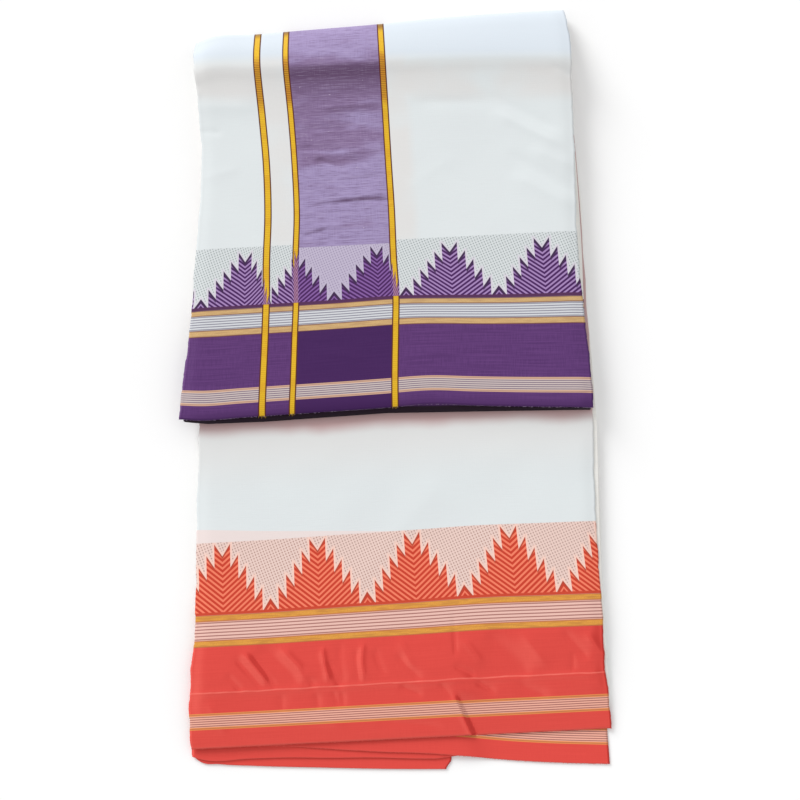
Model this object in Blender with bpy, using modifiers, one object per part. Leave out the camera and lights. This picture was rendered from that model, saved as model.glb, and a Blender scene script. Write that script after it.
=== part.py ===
"""A men's dhoti: one long cotton cloth, folded flat to a packet.

The cloth is laid to and fro in nine layers, one forearm wide, and the pile is then folded
across near its far end. The end with the violet border comes to lie as a flap over the back
half, and the end with the orange border shows in front of it.

Seen from above, +X is to the right, +Y runs from the orange hem to the rolled fold, and +Z is
up. The origin is at the middle of the packet's underside. Tables and sizes are in millimetres.
"""
import bpy
import bmesh
import numpy as np

MM = 0.001

# Sizes that the rest follows
WALL = 1.0
GAP = 0.3
BLOCK_GAP = 0.5
STEP = WALL + GAP
PANEL_TOP = 12.0
FLAP_FLOOR = PANEL_TOP + GAP
HEM_BACK_Y = -330.0
SLIT_FROM_BACK = 22.0
FOOT_FROM_BACK = 13.4
FOLD_INSET = 2.0
FLAT_STEPS = 9
TUCKED_STEPS = 5

# Across each cloth: share of its width from the left edge
ACROSS = (0, .012, .04, .09, .15, .21, .27, .33, .39, .45, .5,
          .55, .61, .67, .73, .79, .85, .91, .96, .988, 1)
BLOCK_ACROSS = ACROSS[0::2]

# How far an edge sinks below the middle of its cloth, and over what width
EDGE_SINK = 1.6
EDGE_WIDTH = 9.0
BLOCK_EDGE_WIDTH = 22.0

# Hidden layers: how far their folds wander sideways, the length of one such wave over 2 pi, the
# shift from one fold to the next, and how their front edge rounds down
FOLD_WANDER = 0.7
WANDER_LENGTH = 63.0
WANDER_SHIFT = 2.1
FRONT_ROUNDING = 1.2

# Flap, its two sides: y, left x, right x
FLAP_SIDES = (
    (-60, -234.5, 223.0),
    (-48, -234.0, 224.0),
    (-22, -231.0, 224.0),
    (35, -223.0, 222.5),
    (77, -218.0, 221.5),
    (119, -215.0, 221.5),
    (153, -212.0, 222.0),
    (190, -208.5, 224.0),
    (232, -205.5, 226.5),
    (273, -204.5, 228.5),
    (315, -206.8, 230.0),
    (344, -208.5, 231.0),
    (373, -211.0, 232.5),
    (394, -212.5, 233.0),
    (412, -211.5, 232.0),
    (437, -210.0, 230.5),
)

# Flap, its front hem and the outermost line of the roll: share across, front y, back y
FLAP_ENDS = (
    (0.00, -47.0, 417.0),
    (0.04, -49.5, 423.5),
    (0.15, -49.0, 424.5),
    (0.24, -48.2, 426.0),
    (0.37, -47.2, 428.0),
    (0.49, -46.2, 430.0),
    (0.61, -44.6, 433.0),
    (0.71, -48.5, 435.0),
    (0.86, -53.5, 436.3),
    (1.00, -57.5, 436.6),
)

# Flap in section, near its front hem: distance behind the hem, height of the outer face
FLAP_FRONT = ((0, 20.6), (6, 22.4), (18, 23.6), (40, 24.2))

# Flap in section, over the roll: distance in front of the outermost line, height
FLAP_ROLL = (
    (140, 24.4),
    (112, 25.2),
    (90, 27.0),
    (76, 29.2),
    (67, 31.4),
    (61, 32.4),
    (53, 32.0),
    (40, 29.6),
    (26, 25.4),
    (13, 20.0),
    (4, 14.6),
    (0, 9.6),
    (1.6, 5.8),
    (6, 2.8),
    (11, 1.4),
)

# Lower panel, its two sides: y, left x, right x
PANEL_SIDES = (
    (-402, -226.0, 215.5),
    (-395, -227.2, 215.6),
    (-378, -227.0, 215.4),
    (-355, -228.0, 215.2),
    (-343, -226.6, 213.6),
    (-318, -225.0, 214.0),
    (-287, -221.0, 215.4),
    (-255, -219.6, 215.6),
    (-213, -218.4, 216.2),
    (-170, -217.2, 217.6),
    (-137, -216.6, 219.0),
    (-106, -214.8, 221.0),
    (-65, -213.2, 223.5),
    (60, -208.0, 227.0),
    (200, -205.0, 230.0),
    (437, -204.0, 228.0),
)

# Hidden layers, their two sides under the panel and under the flap:
# y, left x and right x of the lower pile, left x and right x of the flap's pile
PILE_SIDES = (
    (-402, -224.0, 213.0, -230.0, 222.0),
    (-378, -225.0, 217.0, -230.0, 222.0),
    (-318, -223.0, 218.6, -230.0, 222.0),
    (-255, -217.8, 220.2, -230.0, 222.0),
    (-170, -215.4, 224.2, -230.0, 222.0),
    (-65, -211.0, 229.0, -230.0, 222.5),
    (-22, -209.5, 229.4, -228.8, 222.4),
    (35, -208.0, 230.0, -221.0, 223.8),
    (119, -205.5, 231.0, -213.0, 227.4),
    (190, -204.0, 233.6, -206.6, 228.4),
    (273, -203.6, 231.8, -202.8, 229.2),
    (344, -205.0, 230.0, -206.6, 229.4),
    (400, -208.0, 229.6, -210.4, 230.8),
    (437, -206.5, 228.4, -208.0, 228.6),
)

# Front edge of the flap's hidden layers: share across, y
FLAP_PILE_FRONT = (
    (0.00, -48.8),
    (0.05, -52.0),
    (0.13, -54.0),
    (0.22, -52.8),
    (0.30, -52.2),
    (0.38, -50.0),
    (0.52, -50.6),
    (0.62, -52.6),
    (0.78, -54.6),
    (1.00, -58.2),
)

# Layer folds along the pile's edge, from the slit outward: share of the thickness, how far in
FOLD_EDGE = (
    (0.000, 1.6),
    (0.110, 0.2),
    (0.235, 1.9),
    (0.370, 0.0),
    (0.500, 2.1),
    (0.620, 0.4),
    (0.755, 1.8),
    (0.880, 0.1),
    (1.000, 1.5),
)

# Layers that show under the orange hem: share across, front y
SECOND_HEM = ((0.0, -398.0), (0.22, -402.0), (0.37, -409.0), (0.46, -413.0), (0.55, -416.0),
              (0.65, -421.0), (0.77, -428.0), (0.86, -432.0), (1.0, -436.6))
THIRD_HEM = ((0.0, -408.0), (0.03, -411.0), (0.22, -413.0), (0.34, -413.6), (0.5, -416.2),
             (0.68, -418.4), (0.8, -421.0), (1.0, -424.0))
LOWEST_HEM = ((0.0, -406.0), (0.03, -413.0), (0.11, -417.0), (0.24, -420.4), (0.5, -425.6),
              (0.8, -431.0), (1.0, -433.4))

# Those layers, side by side: left x, right x at the front, right x at the back
SECOND_SIDES = (-225.0, 211.0, 212.0)
THIRD_SIDES = (-226.0, 46.0, 47.0)
LOWEST_SIDES = (-226.6, 40.0, 46.0)

# The pile under the orange hem ends between these two x, and the cloth sinks beyond them
LAYERS_END_X = (50.0, 98.0)

# Lower panel in section: y, height of its outer face above the layers that show below it
PANEL_SLOPE = ((-402, 1.5), (-396, 2.2), (-384, 3.4), (-366, 5.2), (-348, 6.8), (-330, 7.9),
               (-308, 8.1), (-280, 8.1))

# Rows of the lower panel, from its hem to just in front of the flap
PANEL_ROWS = (-400.5, -397, -391, -383, -374, -365, -356, -350, -347, -344, -341, -336, -326,
              -312, -296, -278, -258, -236, -212, -186, -158, -130, -104, -82, -62)

# Rows of each hem that shows below: share of the way from its front to its back
HEM_ROWS = (0, .06, .16, .34, .6, 1)

# Between which two places a form comes in or goes out: y, or z where the name says so
PANEL_RISES_Y = (-340, -290)
PANEL_SINK_IN_Y = (-394, -350)
PANEL_SINK_OUT_Y = (-130, -62)
PANEL_CREASES_OUT_Y = (-110, -80)
FLAP_SINK_Z = (6, 20)
FLAP_CREASES_IN_Y = (-44, -10)
FLAP_CREASES_OUT_Y = (300, 340)
FLAP_SIDES_Z = (8, 16)
PILE_ON_FLOOR_Y = (-326, -320)

# Faces that meet at more than this angle keep a sharp edge, in degrees
SHARP_ANGLE = 50

# Rows of the hidden layers' lower pile
BLOCK_ROWS = (-374, -365, -356, -347, -336, -327, -319, -308, -296, -278, -236, -186, -130,
              -62, 20, 110, 200, 290, 370)

# Large creases: x and y of one end, x and y of the other, height, half its width
PANEL_CREASES = (
    (-240, -344, 230, -344, 1.3, 4.5),
    (54, -360, 69, -402, 0.7, 7.0),
    (-190, -330, -105, -292, 0.8, 13.0),
    (-30, -322, 84, -286, 0.7, 14.0),
    (-84, -352, -86, -392, 0.6, 11.0),
    (-47, -352, -49, -392, 0.5, 10.0),
    (5, -352, 3, -392, 0.5, 11.0),
    (-60, -250, 60, -120, 0.5, 26.0),
)
FLAP_CREASES = (
    (118, 322, 228, 194, 1.0, 12.0),
    (-92, 193, 14, 198, 0.7, 8.0),
    (-95, 258, 10, 262, 0.5, 10.0),
    (-150, 60, 110, 40, 0.6, 20.0),
)

# Colour, roughness and sheen of each piece
CLOTH_COLOURS = {
    "violet_end_cloth": (0.78, 0.80, 0.84),
    "orange_end_cloth": (0.80, 0.80, 0.79),
    "second_layer_hem": (0.72, 0.09, 0.06),
    "third_layer_hem": (0.66, 0.08, 0.05),
    "lowest_layer_hem": (0.60, 0.07, 0.05),
    "hidden_layers": (0.74, 0.74, 0.72),
}
COTTON_ROUGHNESS = 0.85
COTTON_SHEEN = 0.3


def read(table, column, at):
    """Smooth value of one column of a table, whose first column rises."""
    rows = np.array(table, dtype=float)
    key = rows[:, 0]
    value = rows[:, column]
    slope = np.gradient(value, key)
    at = np.clip(np.asarray(at, dtype=float), key[0], key[-1])
    cell = np.clip(np.searchsorted(key, at, side="right") - 1, 0, len(key) - 2)
    span = key[cell + 1] - key[cell]
    f = (at - key[cell]) / span
    rise = value[cell] * (2 * f**3 - 3 * f**2 + 1) + value[cell + 1] * (3 * f**2 - 2 * f**3)
    return rise + span * (slope[cell] * (f**3 - 2 * f**2 + f) + slope[cell + 1] * (f**3 - f**2))


def ease(low, high, at):
    """Smooth step from 0 at low to 1 at high."""
    f = np.clip((np.asarray(at, dtype=float) - low) / (high - low), 0, 1)
    return f * f * (3 - 2 * f)


def mix(a, b, share):
    return a + (b - a) * share


def ridges(creases, x, y):
    """Height that the soft ridges of a table add at x, y. A ridge fades toward its ends."""
    total = np.zeros(np.broadcast(x, y).shape)
    for x0, y0, x1, y1, height, half in creases:
        run = np.hypot(x1 - x0, y1 - y0)
        ux, uy = (x1 - x0) / run, (y1 - y0) / run
        ahead = (x - x0) * ux + (y - y0) * uy
        aside = (y - y0) * ux - (x - x0) * uy
        fade = ease(-half, 2 * half, ahead) * ease(-half, 2 * half, run - ahead)
        total = total + height * fade * np.exp(-(aside / half) ** 2)
    return total


def edge_sink(x, left, right, width=EDGE_WIDTH):
    """How far an outer face lies lower beside its two side edges."""
    near = np.minimum(x - left, right - x)
    return EDGE_SINK * np.exp(-(np.maximum(near, 0) / width) ** 2)


def flap_section():
    """Rows of the flap from hem to the end of its roll: tie to the hem, offset in y, height."""
    rows = [(1.0, offset, height) for offset, height in FLAP_FRONT]
    flat_start = FLAP_FRONT[-1][0]
    flat_end, end_height = FLAP_ROLL[0]
    for step in range(1, FLAT_STEPS):
        share = step / FLAT_STEPS
        offset = mix(flat_start, -flat_end, share)
        rows.append((1.0 - share, offset, mix(FLAP_FRONT[-1][1], end_height, share)))
    rows += [(0.0, -offset, height) for offset, height in FLAP_ROLL]
    return np.array(rows)


def flap_points(across, inset=0.0):
    """Outer face of the flap, row by row, moved in by inset along each row's normal."""
    tie, offset, height = flap_section().T[:, :, None]
    share = np.array(across)[None, :]
    y = tie * read(FLAP_ENDS, 1, share) + (1 - tie) * read(FLAP_ENDS, 2, share) + offset
    z = np.broadcast_to(height, y.shape).copy()
    dy, dz = np.gradient(y, axis=0), np.gradient(z, axis=0)
    run = np.hypot(dy, dz)
    return y + inset * dz / run, z - inset * dy / run


def flap_sink(x, y, z, width=EDGE_WIDTH):
    """How far the flap lies lower beside its sides, less and less down the roll."""
    return edge_sink(x, read(FLAP_SIDES, 1, y), read(FLAP_SIDES, 2, y), width) * ease(*FLAP_SINK_Z, z)


def layers_below(x):
    """Height of the layers that show under the orange hem, which end part way across."""
    return mix(3 * STEP, STEP, ease(*LAYERS_END_X, x))


def panel_height(x, y, width=EDGE_WIDTH):
    """Outer face of the lower panel, without its creases."""
    sloped = layers_below(x) + read(PANEL_SLOPE, 1, y)
    sink = edge_sink(x, read(PANEL_SIDES, 1, y), read(PANEL_SIDES, 2, y), width)
    shown = ease(*PANEL_SINK_IN_Y, y) * (1 - ease(*PANEL_SINK_OUT_Y, y))
    return mix(sloped, PANEL_TOP, ease(*PANEL_RISES_Y, y)) - sink * shown


def new_object(name, bm):
    mesh = bpy.data.meshes.new(name)
    bm.to_mesh(mesh)
    bm.free()
    mesh.shade_smooth()
    mesh.set_sharp_from_angle(angle=np.radians(SHARP_ANGLE))
    piece = bpy.data.objects.new(name, mesh)
    packet.objects.link(piece)
    mesh.materials.append(cotton(name))
    return piece


def cotton(name):
    """Matt cotton in the piece's main colour."""
    material = bpy.data.materials.new(name + "_cotton")
    material.use_nodes = True
    shader = material.node_tree.nodes["Principled BSDF"]
    shader.inputs["Base Color"].default_value = (*CLOTH_COLOURS[name], 1)
    shader.inputs["Roughness"].default_value = COTTON_ROUGHNESS
    shader.inputs["Metallic"].default_value = 0
    shader.inputs["Sheen Weight"].default_value = COTTON_SHEEN
    return material


def cloth(name, x, y, z):
    """A sheet through rows of points, with a wall that grows inward from its outer face."""
    rows, columns = x.shape
    bm = bmesh.new()
    grid = bmesh.ops.create_grid(bm, x_segments=columns - 1, y_segments=rows - 1, size=1)
    order = sorted(grid["verts"], key=lambda v: (round(v.co.y, 4), round(v.co.x, 4)))
    for vert, place in zip(order, np.stack([x, y, z], axis=-1).reshape(-1, 3)):
        vert.co = place * MM
    bmesh.ops.recalc_face_normals(bm, faces=bm.faces)
    bm.normal_update()
    if sum(face.normal.z for face in bm.faces) < 0:
        bmesh.ops.reverse_faces(bm, faces=bm.faces)
    piece = new_object(name, bm)
    wall = piece.modifiers.new("wall", "SOLIDIFY")
    wall.thickness = WALL * MM
    wall.offset = -1
    return piece


def violet_end_cloth():
    """The top layer of the flap, over the roll and down the back."""
    y, z = flap_points(ACROSS)
    x = mix(read(FLAP_SIDES, 1, y), read(FLAP_SIDES, 2, y), np.array(ACROSS)[None, :])
    flat = ease(*FLAP_CREASES_IN_Y, y) * (1 - ease(*FLAP_CREASES_OUT_Y, y))
    z = z - flap_sink(x, y, z) + flat * ridges(FLAP_CREASES, x, y)
    return cloth("violet_end_cloth", x, y, z)


def orange_end_cloth():
    """The top layer of the lower panel, and on into the slit under the flap."""
    across = np.array(ACROSS)[None, :]
    inner_fold = read(FLAP_ENDS, 2, across) - SLIT_FROM_BACK - FOLD_INSET
    shown = np.array(PANEL_ROWS)[:, None] + 0 * across
    tucked = mix(PANEL_ROWS[-1], inner_fold, np.linspace(0, 1, TUCKED_STEPS + 1)[1:, None])
    y = np.vstack([shown, tucked])
    x = mix(read(PANEL_SIDES, 1, y), read(PANEL_SIDES, 2, y), across)
    z = panel_height(x, y) + ridges(PANEL_CREASES, x, y) * (1 - ease(*PANEL_CREASES_OUT_Y, y))
    return cloth("orange_end_cloth", x, y, z)


def hem_layer(name, front_table, sides, rank):
    """A lower layer that shows under the orange hem. Rank 0 lies on the ground."""
    left, right_front, right_back = sides
    across = np.array(ACROSS)[None, :]
    back_share = np.array(HEM_ROWS)[:, None]
    front = read(front_table, 1, across)
    y = mix(front, HEM_BACK_Y, back_share)
    x = mix(left, mix(right_front, right_back, back_share), across)
    sunk = mix(rank, 0, ease(*LAYERS_END_X, x)) if rank == 2 else rank
    z = WALL + sunk * STEP + 0 * x
    return cloth(name, x, y, z)


def block_sides(y, in_flap):
    """Left and right x of the hidden layers. in_flap is 0 in the lower pile, 1 in the flap."""
    left = mix(read(PILE_SIDES, 1, y), read(PILE_SIDES, 3, y), in_flap)
    right = mix(read(PILE_SIDES, 2, y), read(PILE_SIDES, 4, y), in_flap)
    return left, right


def block_faces():
    """Slit side and outer side of the hidden layers, from the orange end round to the violet.

    Both are arrays of x, y, z, one row for each place along the folded pile.
    """
    across = np.array(BLOCK_ACROSS)[None, :]
    back = read(FLAP_ENDS, 2, across)
    slit_end = back - SLIT_FROM_BACK

    lower_y = np.vstack([np.array(BLOCK_ROWS)[:, None] + 0 * across, back - FOOT_FROM_BACK])
    lower_x = mix(*block_sides(lower_y, 0), across)
    floor = (layers_below(lower_x) + GAP) * (1 - ease(*PILE_ON_FLOOR_Y, lower_y))
    roof = panel_height(lower_x, lower_y, BLOCK_EDGE_WIDTH) - WALL - BLOCK_GAP
    roof_y = np.minimum(lower_y, slit_end)

    roll_y, roll_z = (side[::-1] for side in flap_points(BLOCK_ACROSS, WALL + BLOCK_GAP))
    front = read(FLAP_PILE_FRONT, 1, across)
    roll_y = np.vstack([roll_y, front])
    roll_z = np.vstack([roll_z, roll_z[-1:] - FRONT_ROUNDING])
    in_flap = ease(*FLAP_SIDES_Z, roll_z)
    roll_x = mix(*block_sides(roll_y, in_flap), across)
    roll_z = roll_z - flap_sink(roll_x, roll_y, roll_z, BLOCK_EDGE_WIDTH)

    turn = np.arange(1, len(roll_y) + 1)[:, None] / (np.sum(roll_y > slit_end, axis=0) + 1)
    angle = np.pi * (np.clip(turn, 0, 1) - 0.5)
    radius = (FLAP_FLOOR - PANEL_TOP + WALL + BLOCK_GAP) / 2
    slit_y = np.where(roll_y > slit_end, slit_end + radius * np.cos(angle), roll_y)
    slit_z = np.where(roll_y > slit_end, FLAP_FLOOR - radius * (1 - np.sin(angle)), FLAP_FLOOR)

    outer = np.stack([np.vstack([lower_x, roll_x]), np.vstack([lower_y, roll_y]),
                      np.vstack([floor, roll_z])], axis=-1)
    slit = np.stack([np.vstack([lower_x, roll_x]), np.vstack([roof_y, slit_y]),
                     np.vstack([roof, slit_z])], axis=-1)
    return slit, outer


def hidden_layers():
    """All the layers that don't show, as one folded block with layered edges."""
    slit, outer = block_faces()
    depth, tucked_in = np.array(FOLD_EDGE).T
    points = slit[:, :, None] + (outer - slit)[:, :, None] * depth[None, None, :, None]
    shift = WANDER_SHIFT * np.arange(len(depth))
    wander = FOLD_WANDER * np.sin(points[:, 0, :, 1] / WANDER_LENGTH + shift)
    points[:, 0, :, 0] += tucked_in + wander
    points[:, -1, :, 0] -= tucked_in - wander
    points[0, :, :, 1] += tucked_in
    points[-1, :, :, 1] += tucked_in

    bm = bmesh.new()
    corners = {}

    def corner(*cell):
        if cell not in corners:
            corners[cell] = bm.verts.new(points[cell] * MM)
        return corners[cell]

    sizes = points.shape[:3]
    for axis in range(3):
        first, second = (other for other in range(3) if other != axis)
        for end in (0, sizes[axis] - 1):
            for a in range(sizes[first] - 1):
                for b in range(sizes[second] - 1):
                    square = []
                    for step_a, step_b in ((0, 0), (1, 0), (1, 1), (0, 1)):
                        cell = [0, 0, 0]
                        cell[axis], cell[first], cell[second] = end, a + step_a, b + step_b
                        square.append(corner(*cell))
                    bm.faces.new(square)
    bmesh.ops.recalc_face_normals(bm, faces=bm.faces)
    return new_object("hidden_layers", bm)


for thing in list(bpy.data.objects):
    bpy.data.objects.remove(thing)
packet = bpy.data.collections.new("dhoti_cloth")
bpy.context.scene.collection.children.link(packet)

violet_end_cloth()
orange_end_cloth()
hem_layer("second_layer_hem", SECOND_HEM, SECOND_SIDES, 2)
hem_layer("third_layer_hem", THIRD_HEM, THIRD_SIDES, 1)
hem_layer("lowest_layer_hem", LOWEST_HEM, LOWEST_SIDES, 0)
hidden_layers()
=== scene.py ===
# %% [markdown]
# A men's dhoti, folded to a packet
#
# The real thing is one long piece of white cotton, straight from the loom. Along one long edge it
# has a violet border, along the other an orange one, and near its end three gold stripes cross it.
# The seller lays it to and fro, then folds the pile across, so that both borders show.
#
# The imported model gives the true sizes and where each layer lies. This lesson puts fine cloth in
# the same places: sheets with soft creases, patterns that follow the threads, and folded edges.

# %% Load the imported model
import math

import bpy
import bmesh
import numpy as np
from mathutils import Matrix, Vector


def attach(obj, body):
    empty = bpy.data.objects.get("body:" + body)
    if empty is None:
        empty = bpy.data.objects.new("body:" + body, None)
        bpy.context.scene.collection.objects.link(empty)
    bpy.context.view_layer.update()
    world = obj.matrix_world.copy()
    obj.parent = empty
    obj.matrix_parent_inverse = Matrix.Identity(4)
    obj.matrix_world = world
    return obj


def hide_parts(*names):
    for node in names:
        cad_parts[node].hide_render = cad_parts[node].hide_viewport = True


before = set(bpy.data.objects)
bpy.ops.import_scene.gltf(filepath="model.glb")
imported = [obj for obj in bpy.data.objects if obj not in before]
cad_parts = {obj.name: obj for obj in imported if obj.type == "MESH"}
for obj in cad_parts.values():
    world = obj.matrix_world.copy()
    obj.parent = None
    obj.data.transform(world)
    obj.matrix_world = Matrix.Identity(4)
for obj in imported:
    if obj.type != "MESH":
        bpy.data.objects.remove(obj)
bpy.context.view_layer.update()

MM = 0.001
MM_IN_METRE = 1000


def put(name, data):
    """A new object in the scene."""
    made = bpy.data.objects.new(name, data)
    bpy.context.scene.collection.objects.link(made)
    return made


# %% [markdown]
# ## The camera
#
# The photograph looks down on the packet from a little in front of it, and leans slightly, so that
# the hems climb to the right. A camera matrix needs three directions at right angles: where it
# looks, its right side and its top. The lean is a turn about the looking direction.

# %% Camera
CAMERA_TARGET = Vector((0.011, -0.036, 0.012))
CAMERA_DISTANCE = 1.45
CAMERA_TILT = math.radians(14.0)
CAMERA_LEAN = math.radians(-2.9)
CAMERA_LENS = 58.66
SENSOR_WIDTH = 36.0

looking = Vector((0.0, math.sin(CAMERA_TILT), -math.cos(CAMERA_TILT)))
level_right = Vector((1.0, 0.0, 0.0))
level_top = level_right.cross(looking)
camera_right = math.cos(CAMERA_LEAN) * level_right + math.sin(CAMERA_LEAN) * level_top
camera_top = -math.sin(CAMERA_LEAN) * level_right + math.cos(CAMERA_LEAN) * level_top

camera = put("camera", bpy.data.cameras.new("camera"))
camera.data.lens = CAMERA_LENS
camera.data.sensor_width = SENSOR_WIDTH
turn = Matrix((camera_right, camera_top, -looking)).transposed()
camera.matrix_world = Matrix.Translation(CAMERA_TARGET - CAMERA_DISTANCE * looking) @ turn.to_4x4()
bpy.context.scene.camera = camera
print("camera at", [round(value, 3) for value in camera.matrix_world.translation])

# %% [markdown]
# ## Light and floor
#
# White cotton on a white floor only shows its folds if the light comes from one side more than
# from the others. A low, wide sun behind the packet and to its left does that softly, and a pale
# sky fills the rest. The sky is the stronger one, so that white cloth doesn't burn out.

# %% Light
SKY_COLOUR = (1.0, 1.0, 1.0, 1.0)
SKY_STRENGTH = 0.78
SUN_STRENGTH = 2.25
SUN_FROM = Vector((-0.54, 0.75, 0.40))
SUN_SOFTNESS = math.radians(30.0)

world = bpy.data.worlds.new("pale room")
world.use_nodes = True
sky = world.node_tree.nodes["Background"]
sky.inputs["Color"].default_value = SKY_COLOUR
sky.inputs["Strength"].default_value = SKY_STRENGTH
bpy.context.scene.world = world
bpy.context.scene.view_settings.view_transform = "Standard"

sun = put("soft sun", bpy.data.lights.new("soft sun", "SUN"))
sun.data.energy = SUN_STRENGTH
sun.data.angle = SUN_SOFTNESS
sun.rotation_euler = (-SUN_FROM).to_track_quat("-Z", "Y").to_euler()

# %% Floor
FLOOR_HALF = 6.0
FLOOR_DROP = 0.0004
FLOOR_COLOUR = (0.95, 0.95, 0.95, 1.0)
FLOOR_ROUGHNESS = 0.9


def fresh_material(name, settings):
    """A new material with its node tree and its shader, whose inputs get the settings."""
    material = bpy.data.materials.new(name)
    material.use_nodes = True
    shader = material.node_tree.nodes["Principled BSDF"]
    for key, value in settings.items():
        shader.inputs[key].default_value = value
    return material, material.node_tree, shader


floor_shape = bmesh.new()
bmesh.ops.create_grid(floor_shape, x_segments=1, y_segments=1, size=FLOOR_HALF)
floor_mesh = bpy.data.meshes.new("floor")
floor_shape.to_mesh(floor_mesh)
floor_shape.free()
floor = put("floor", floor_mesh)
floor.location.z = -FLOOR_DROP
floor_paint, _, _ = fresh_material(
    "pale floor", {"Base Color": FLOOR_COLOUR, "Roughness": FLOOR_ROUGHNESS})
floor_mesh.materials.append(floor_paint)
print("floor:", 2 * FLOOR_HALF, "m wide, just under the packet")

# %% [markdown]
# ## Tables instead of hand-drawn curves
#
# Each edge of the packet is a short table of measured places in millimetres. A smooth curve goes
# through them, as a spline ruler would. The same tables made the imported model, so the fine cloth
# lands on it without any fitting.

# %% Read a table smoothly
def read(table, column, at):
    """Smooth value of one column of a table, whose first column rises.

    Between two rows runs a cubic curve, whose slope at each row comes from the rows beside it.
    """
    rows = np.array(table, dtype=float)
    key = rows[:, 0]
    value = rows[:, column]
    slope = np.gradient(value, key)
    at = np.clip(np.asarray(at, dtype=float), key[0], key[-1])
    cell = np.clip(np.searchsorted(key, at, side="right") - 1, 0, len(key) - 2)
    span = key[cell + 1] - key[cell]
    f = (at - key[cell]) / span
    rise = value[cell] * (2 * f**3 - 3 * f**2 + 1) + value[cell + 1] * (3 * f**2 - 2 * f**3)
    return rise + span * (slope[cell] * (f**3 - 2 * f**2 + f) + slope[cell + 1] * (f**3 - f**2))


def ease(low, high, at):
    """Smooth step from 0 at low to 1 at high."""
    f = np.clip((np.asarray(at, dtype=float) - low) / (high - low), 0, 1)
    return f * f * (3 - 2 * f)


def mix(a, b, share):
    """A value on the way from a to b."""
    return a + (b - a) * share


# %% Heights and distances in the packet
# Height of one of the layers below the orange hem, of the lower panel and of the flap's underside
LAYER = 1.3
PANEL_TOP = 12.0
FLAP_FLOOR = 12.3

# Where those layers end under the panel, then how far in front of the roll's outermost line the
# slit under the flap ends and the underside of the pile turns up
HEM_BACK_Y = -330.0
SLIT_FROM_BACK = 22.0
FOOT_FROM_BACK = 13.4

# How much lower the outer faces lie along their side edges, and over what width
EDGE_SINK = 1.6
EDGE_WIDTH = 9.0

# %% The flap's outline
# Flap, its two sides: y, left x, right x
FLAP_SIDES = (
    (-60, -234.5, 223.0),
    (-48, -234.0, 224.0),
    (-22, -231.0, 224.0),
    (35, -223.0, 222.5),
    (77, -218.0, 221.5),
    (119, -215.0, 221.5),
    (153, -212.0, 222.0),
    (190, -208.5, 224.0),
    (232, -205.5, 226.5),
    (273, -204.5, 228.5),
    (315, -206.8, 230.0),
    (344, -208.5, 231.0),
    (373, -211.0, 232.5),
    (394, -212.5, 233.0),
    (412, -211.5, 232.0),
    (437, -210.0, 230.5),
)

# Flap, its front hem and the outermost line of the roll: share across, front y, back y
FLAP_ENDS = (
    (0.00, -47.0, 417.0),
    (0.04, -49.5, 423.5),
    (0.15, -49.0, 424.5),
    (0.24, -48.2, 426.0),
    (0.37, -47.2, 428.0),
    (0.49, -46.2, 430.0),
    (0.61, -44.6, 433.0),
    (0.71, -48.5, 435.0),
    (0.86, -53.5, 436.3),
    (1.00, -57.5, 436.6),
)

# %% The flap in section
# Flap in section, near its front hem: distance behind the hem, height of the outer face
FLAP_FRONT = ((0, 20.6), (6, 22.4), (18, 23.6), (40, 24.2))

# Flap in section, over the roll: distance in front of the outermost line, height
FLAP_ROLL = (
    (140, 24.4),
    (112, 25.2),
    (90, 27.0),
    (76, 29.2),
    (67, 31.4),
    (61, 32.4),
    (53, 32.0),
    (40, 29.6),
    (26, 25.4),
    (13, 20.0),
    (4, 14.6),
    (0, 9.6),
    (1.6, 5.8),
    (6, 2.8),
    (11, 1.4),
)

# How far the flap's crest lies further forward: share across, distance
CREST_MOVES = ((0.0, -9.0), (0.35, -2.5), (0.5, -0.5), (0.75, 6.0), (1.0, 13.0))

# %% The lower panel's outline and slope
# Lower panel, its two sides: y, left x, right x
PANEL_SIDES = (
    (-402, -226.0, 215.5),
    (-395, -227.2, 215.6),
    (-378, -227.0, 215.4),
    (-355, -228.0, 215.2),
    (-343, -226.6, 213.6),
    (-318, -225.0, 214.0),
    (-287, -221.0, 215.4),
    (-255, -219.6, 215.6),
    (-213, -218.4, 216.2),
    (-170, -217.2, 217.6),
    (-137, -216.6, 219.0),
    (-106, -214.8, 221.0),
    (-65, -213.2, 223.5),
    (60, -208.0, 227.0),
    (200, -205.0, 230.0),
    (437, -204.0, 228.0),
)

# Lower panel in section: y, height of its outer face above the layers that show below it
PANEL_SLOPE = ((-402, 1.5), (-396, 2.2), (-384, 3.4), (-366, 5.2), (-348, 6.8), (-330, 7.9),
               (-308, 8.1), (-280, 8.1))

# %% The hidden layers' outline
# Hidden layers, their two sides under the panel and under the flap:
# y, left x and right x of the lower pile, left x and right x of the flap's pile
PILE_SIDES = (
    (-402, -224.0, 213.0, -230.0, 222.0),
    (-378, -225.0, 217.0, -230.0, 222.0),
    (-318, -223.0, 218.6, -230.0, 222.0),
    (-255, -217.8, 220.2, -230.0, 222.0),
    (-170, -215.4, 224.2, -230.0, 222.0),
    (-65, -211.0, 229.0, -230.0, 222.5),
    (-22, -209.5, 229.4, -228.8, 222.4),
    (35, -208.0, 230.0, -221.0, 223.8),
    (119, -205.5, 231.0, -213.0, 227.4),
    (190, -204.0, 233.6, -206.6, 228.4),
    (273, -203.6, 231.8, -202.8, 229.2),
    (344, -205.0, 230.0, -206.6, 229.4),
    (400, -208.0, 229.6, -210.4, 230.8),
    (437, -206.5, 228.4, -208.0, 228.6),
)

# Front edge of the flap's hidden layers: share across, y
FLAP_PILE_FRONT = (
    (0.00, -48.8),
    (0.05, -52.0),
    (0.13, -54.0),
    (0.22, -52.8),
    (0.30, -52.2),
    (0.38, -50.0),
    (0.52, -50.6),
    (0.62, -52.6),
    (0.78, -54.6),
    (1.00, -58.2),
)

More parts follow.
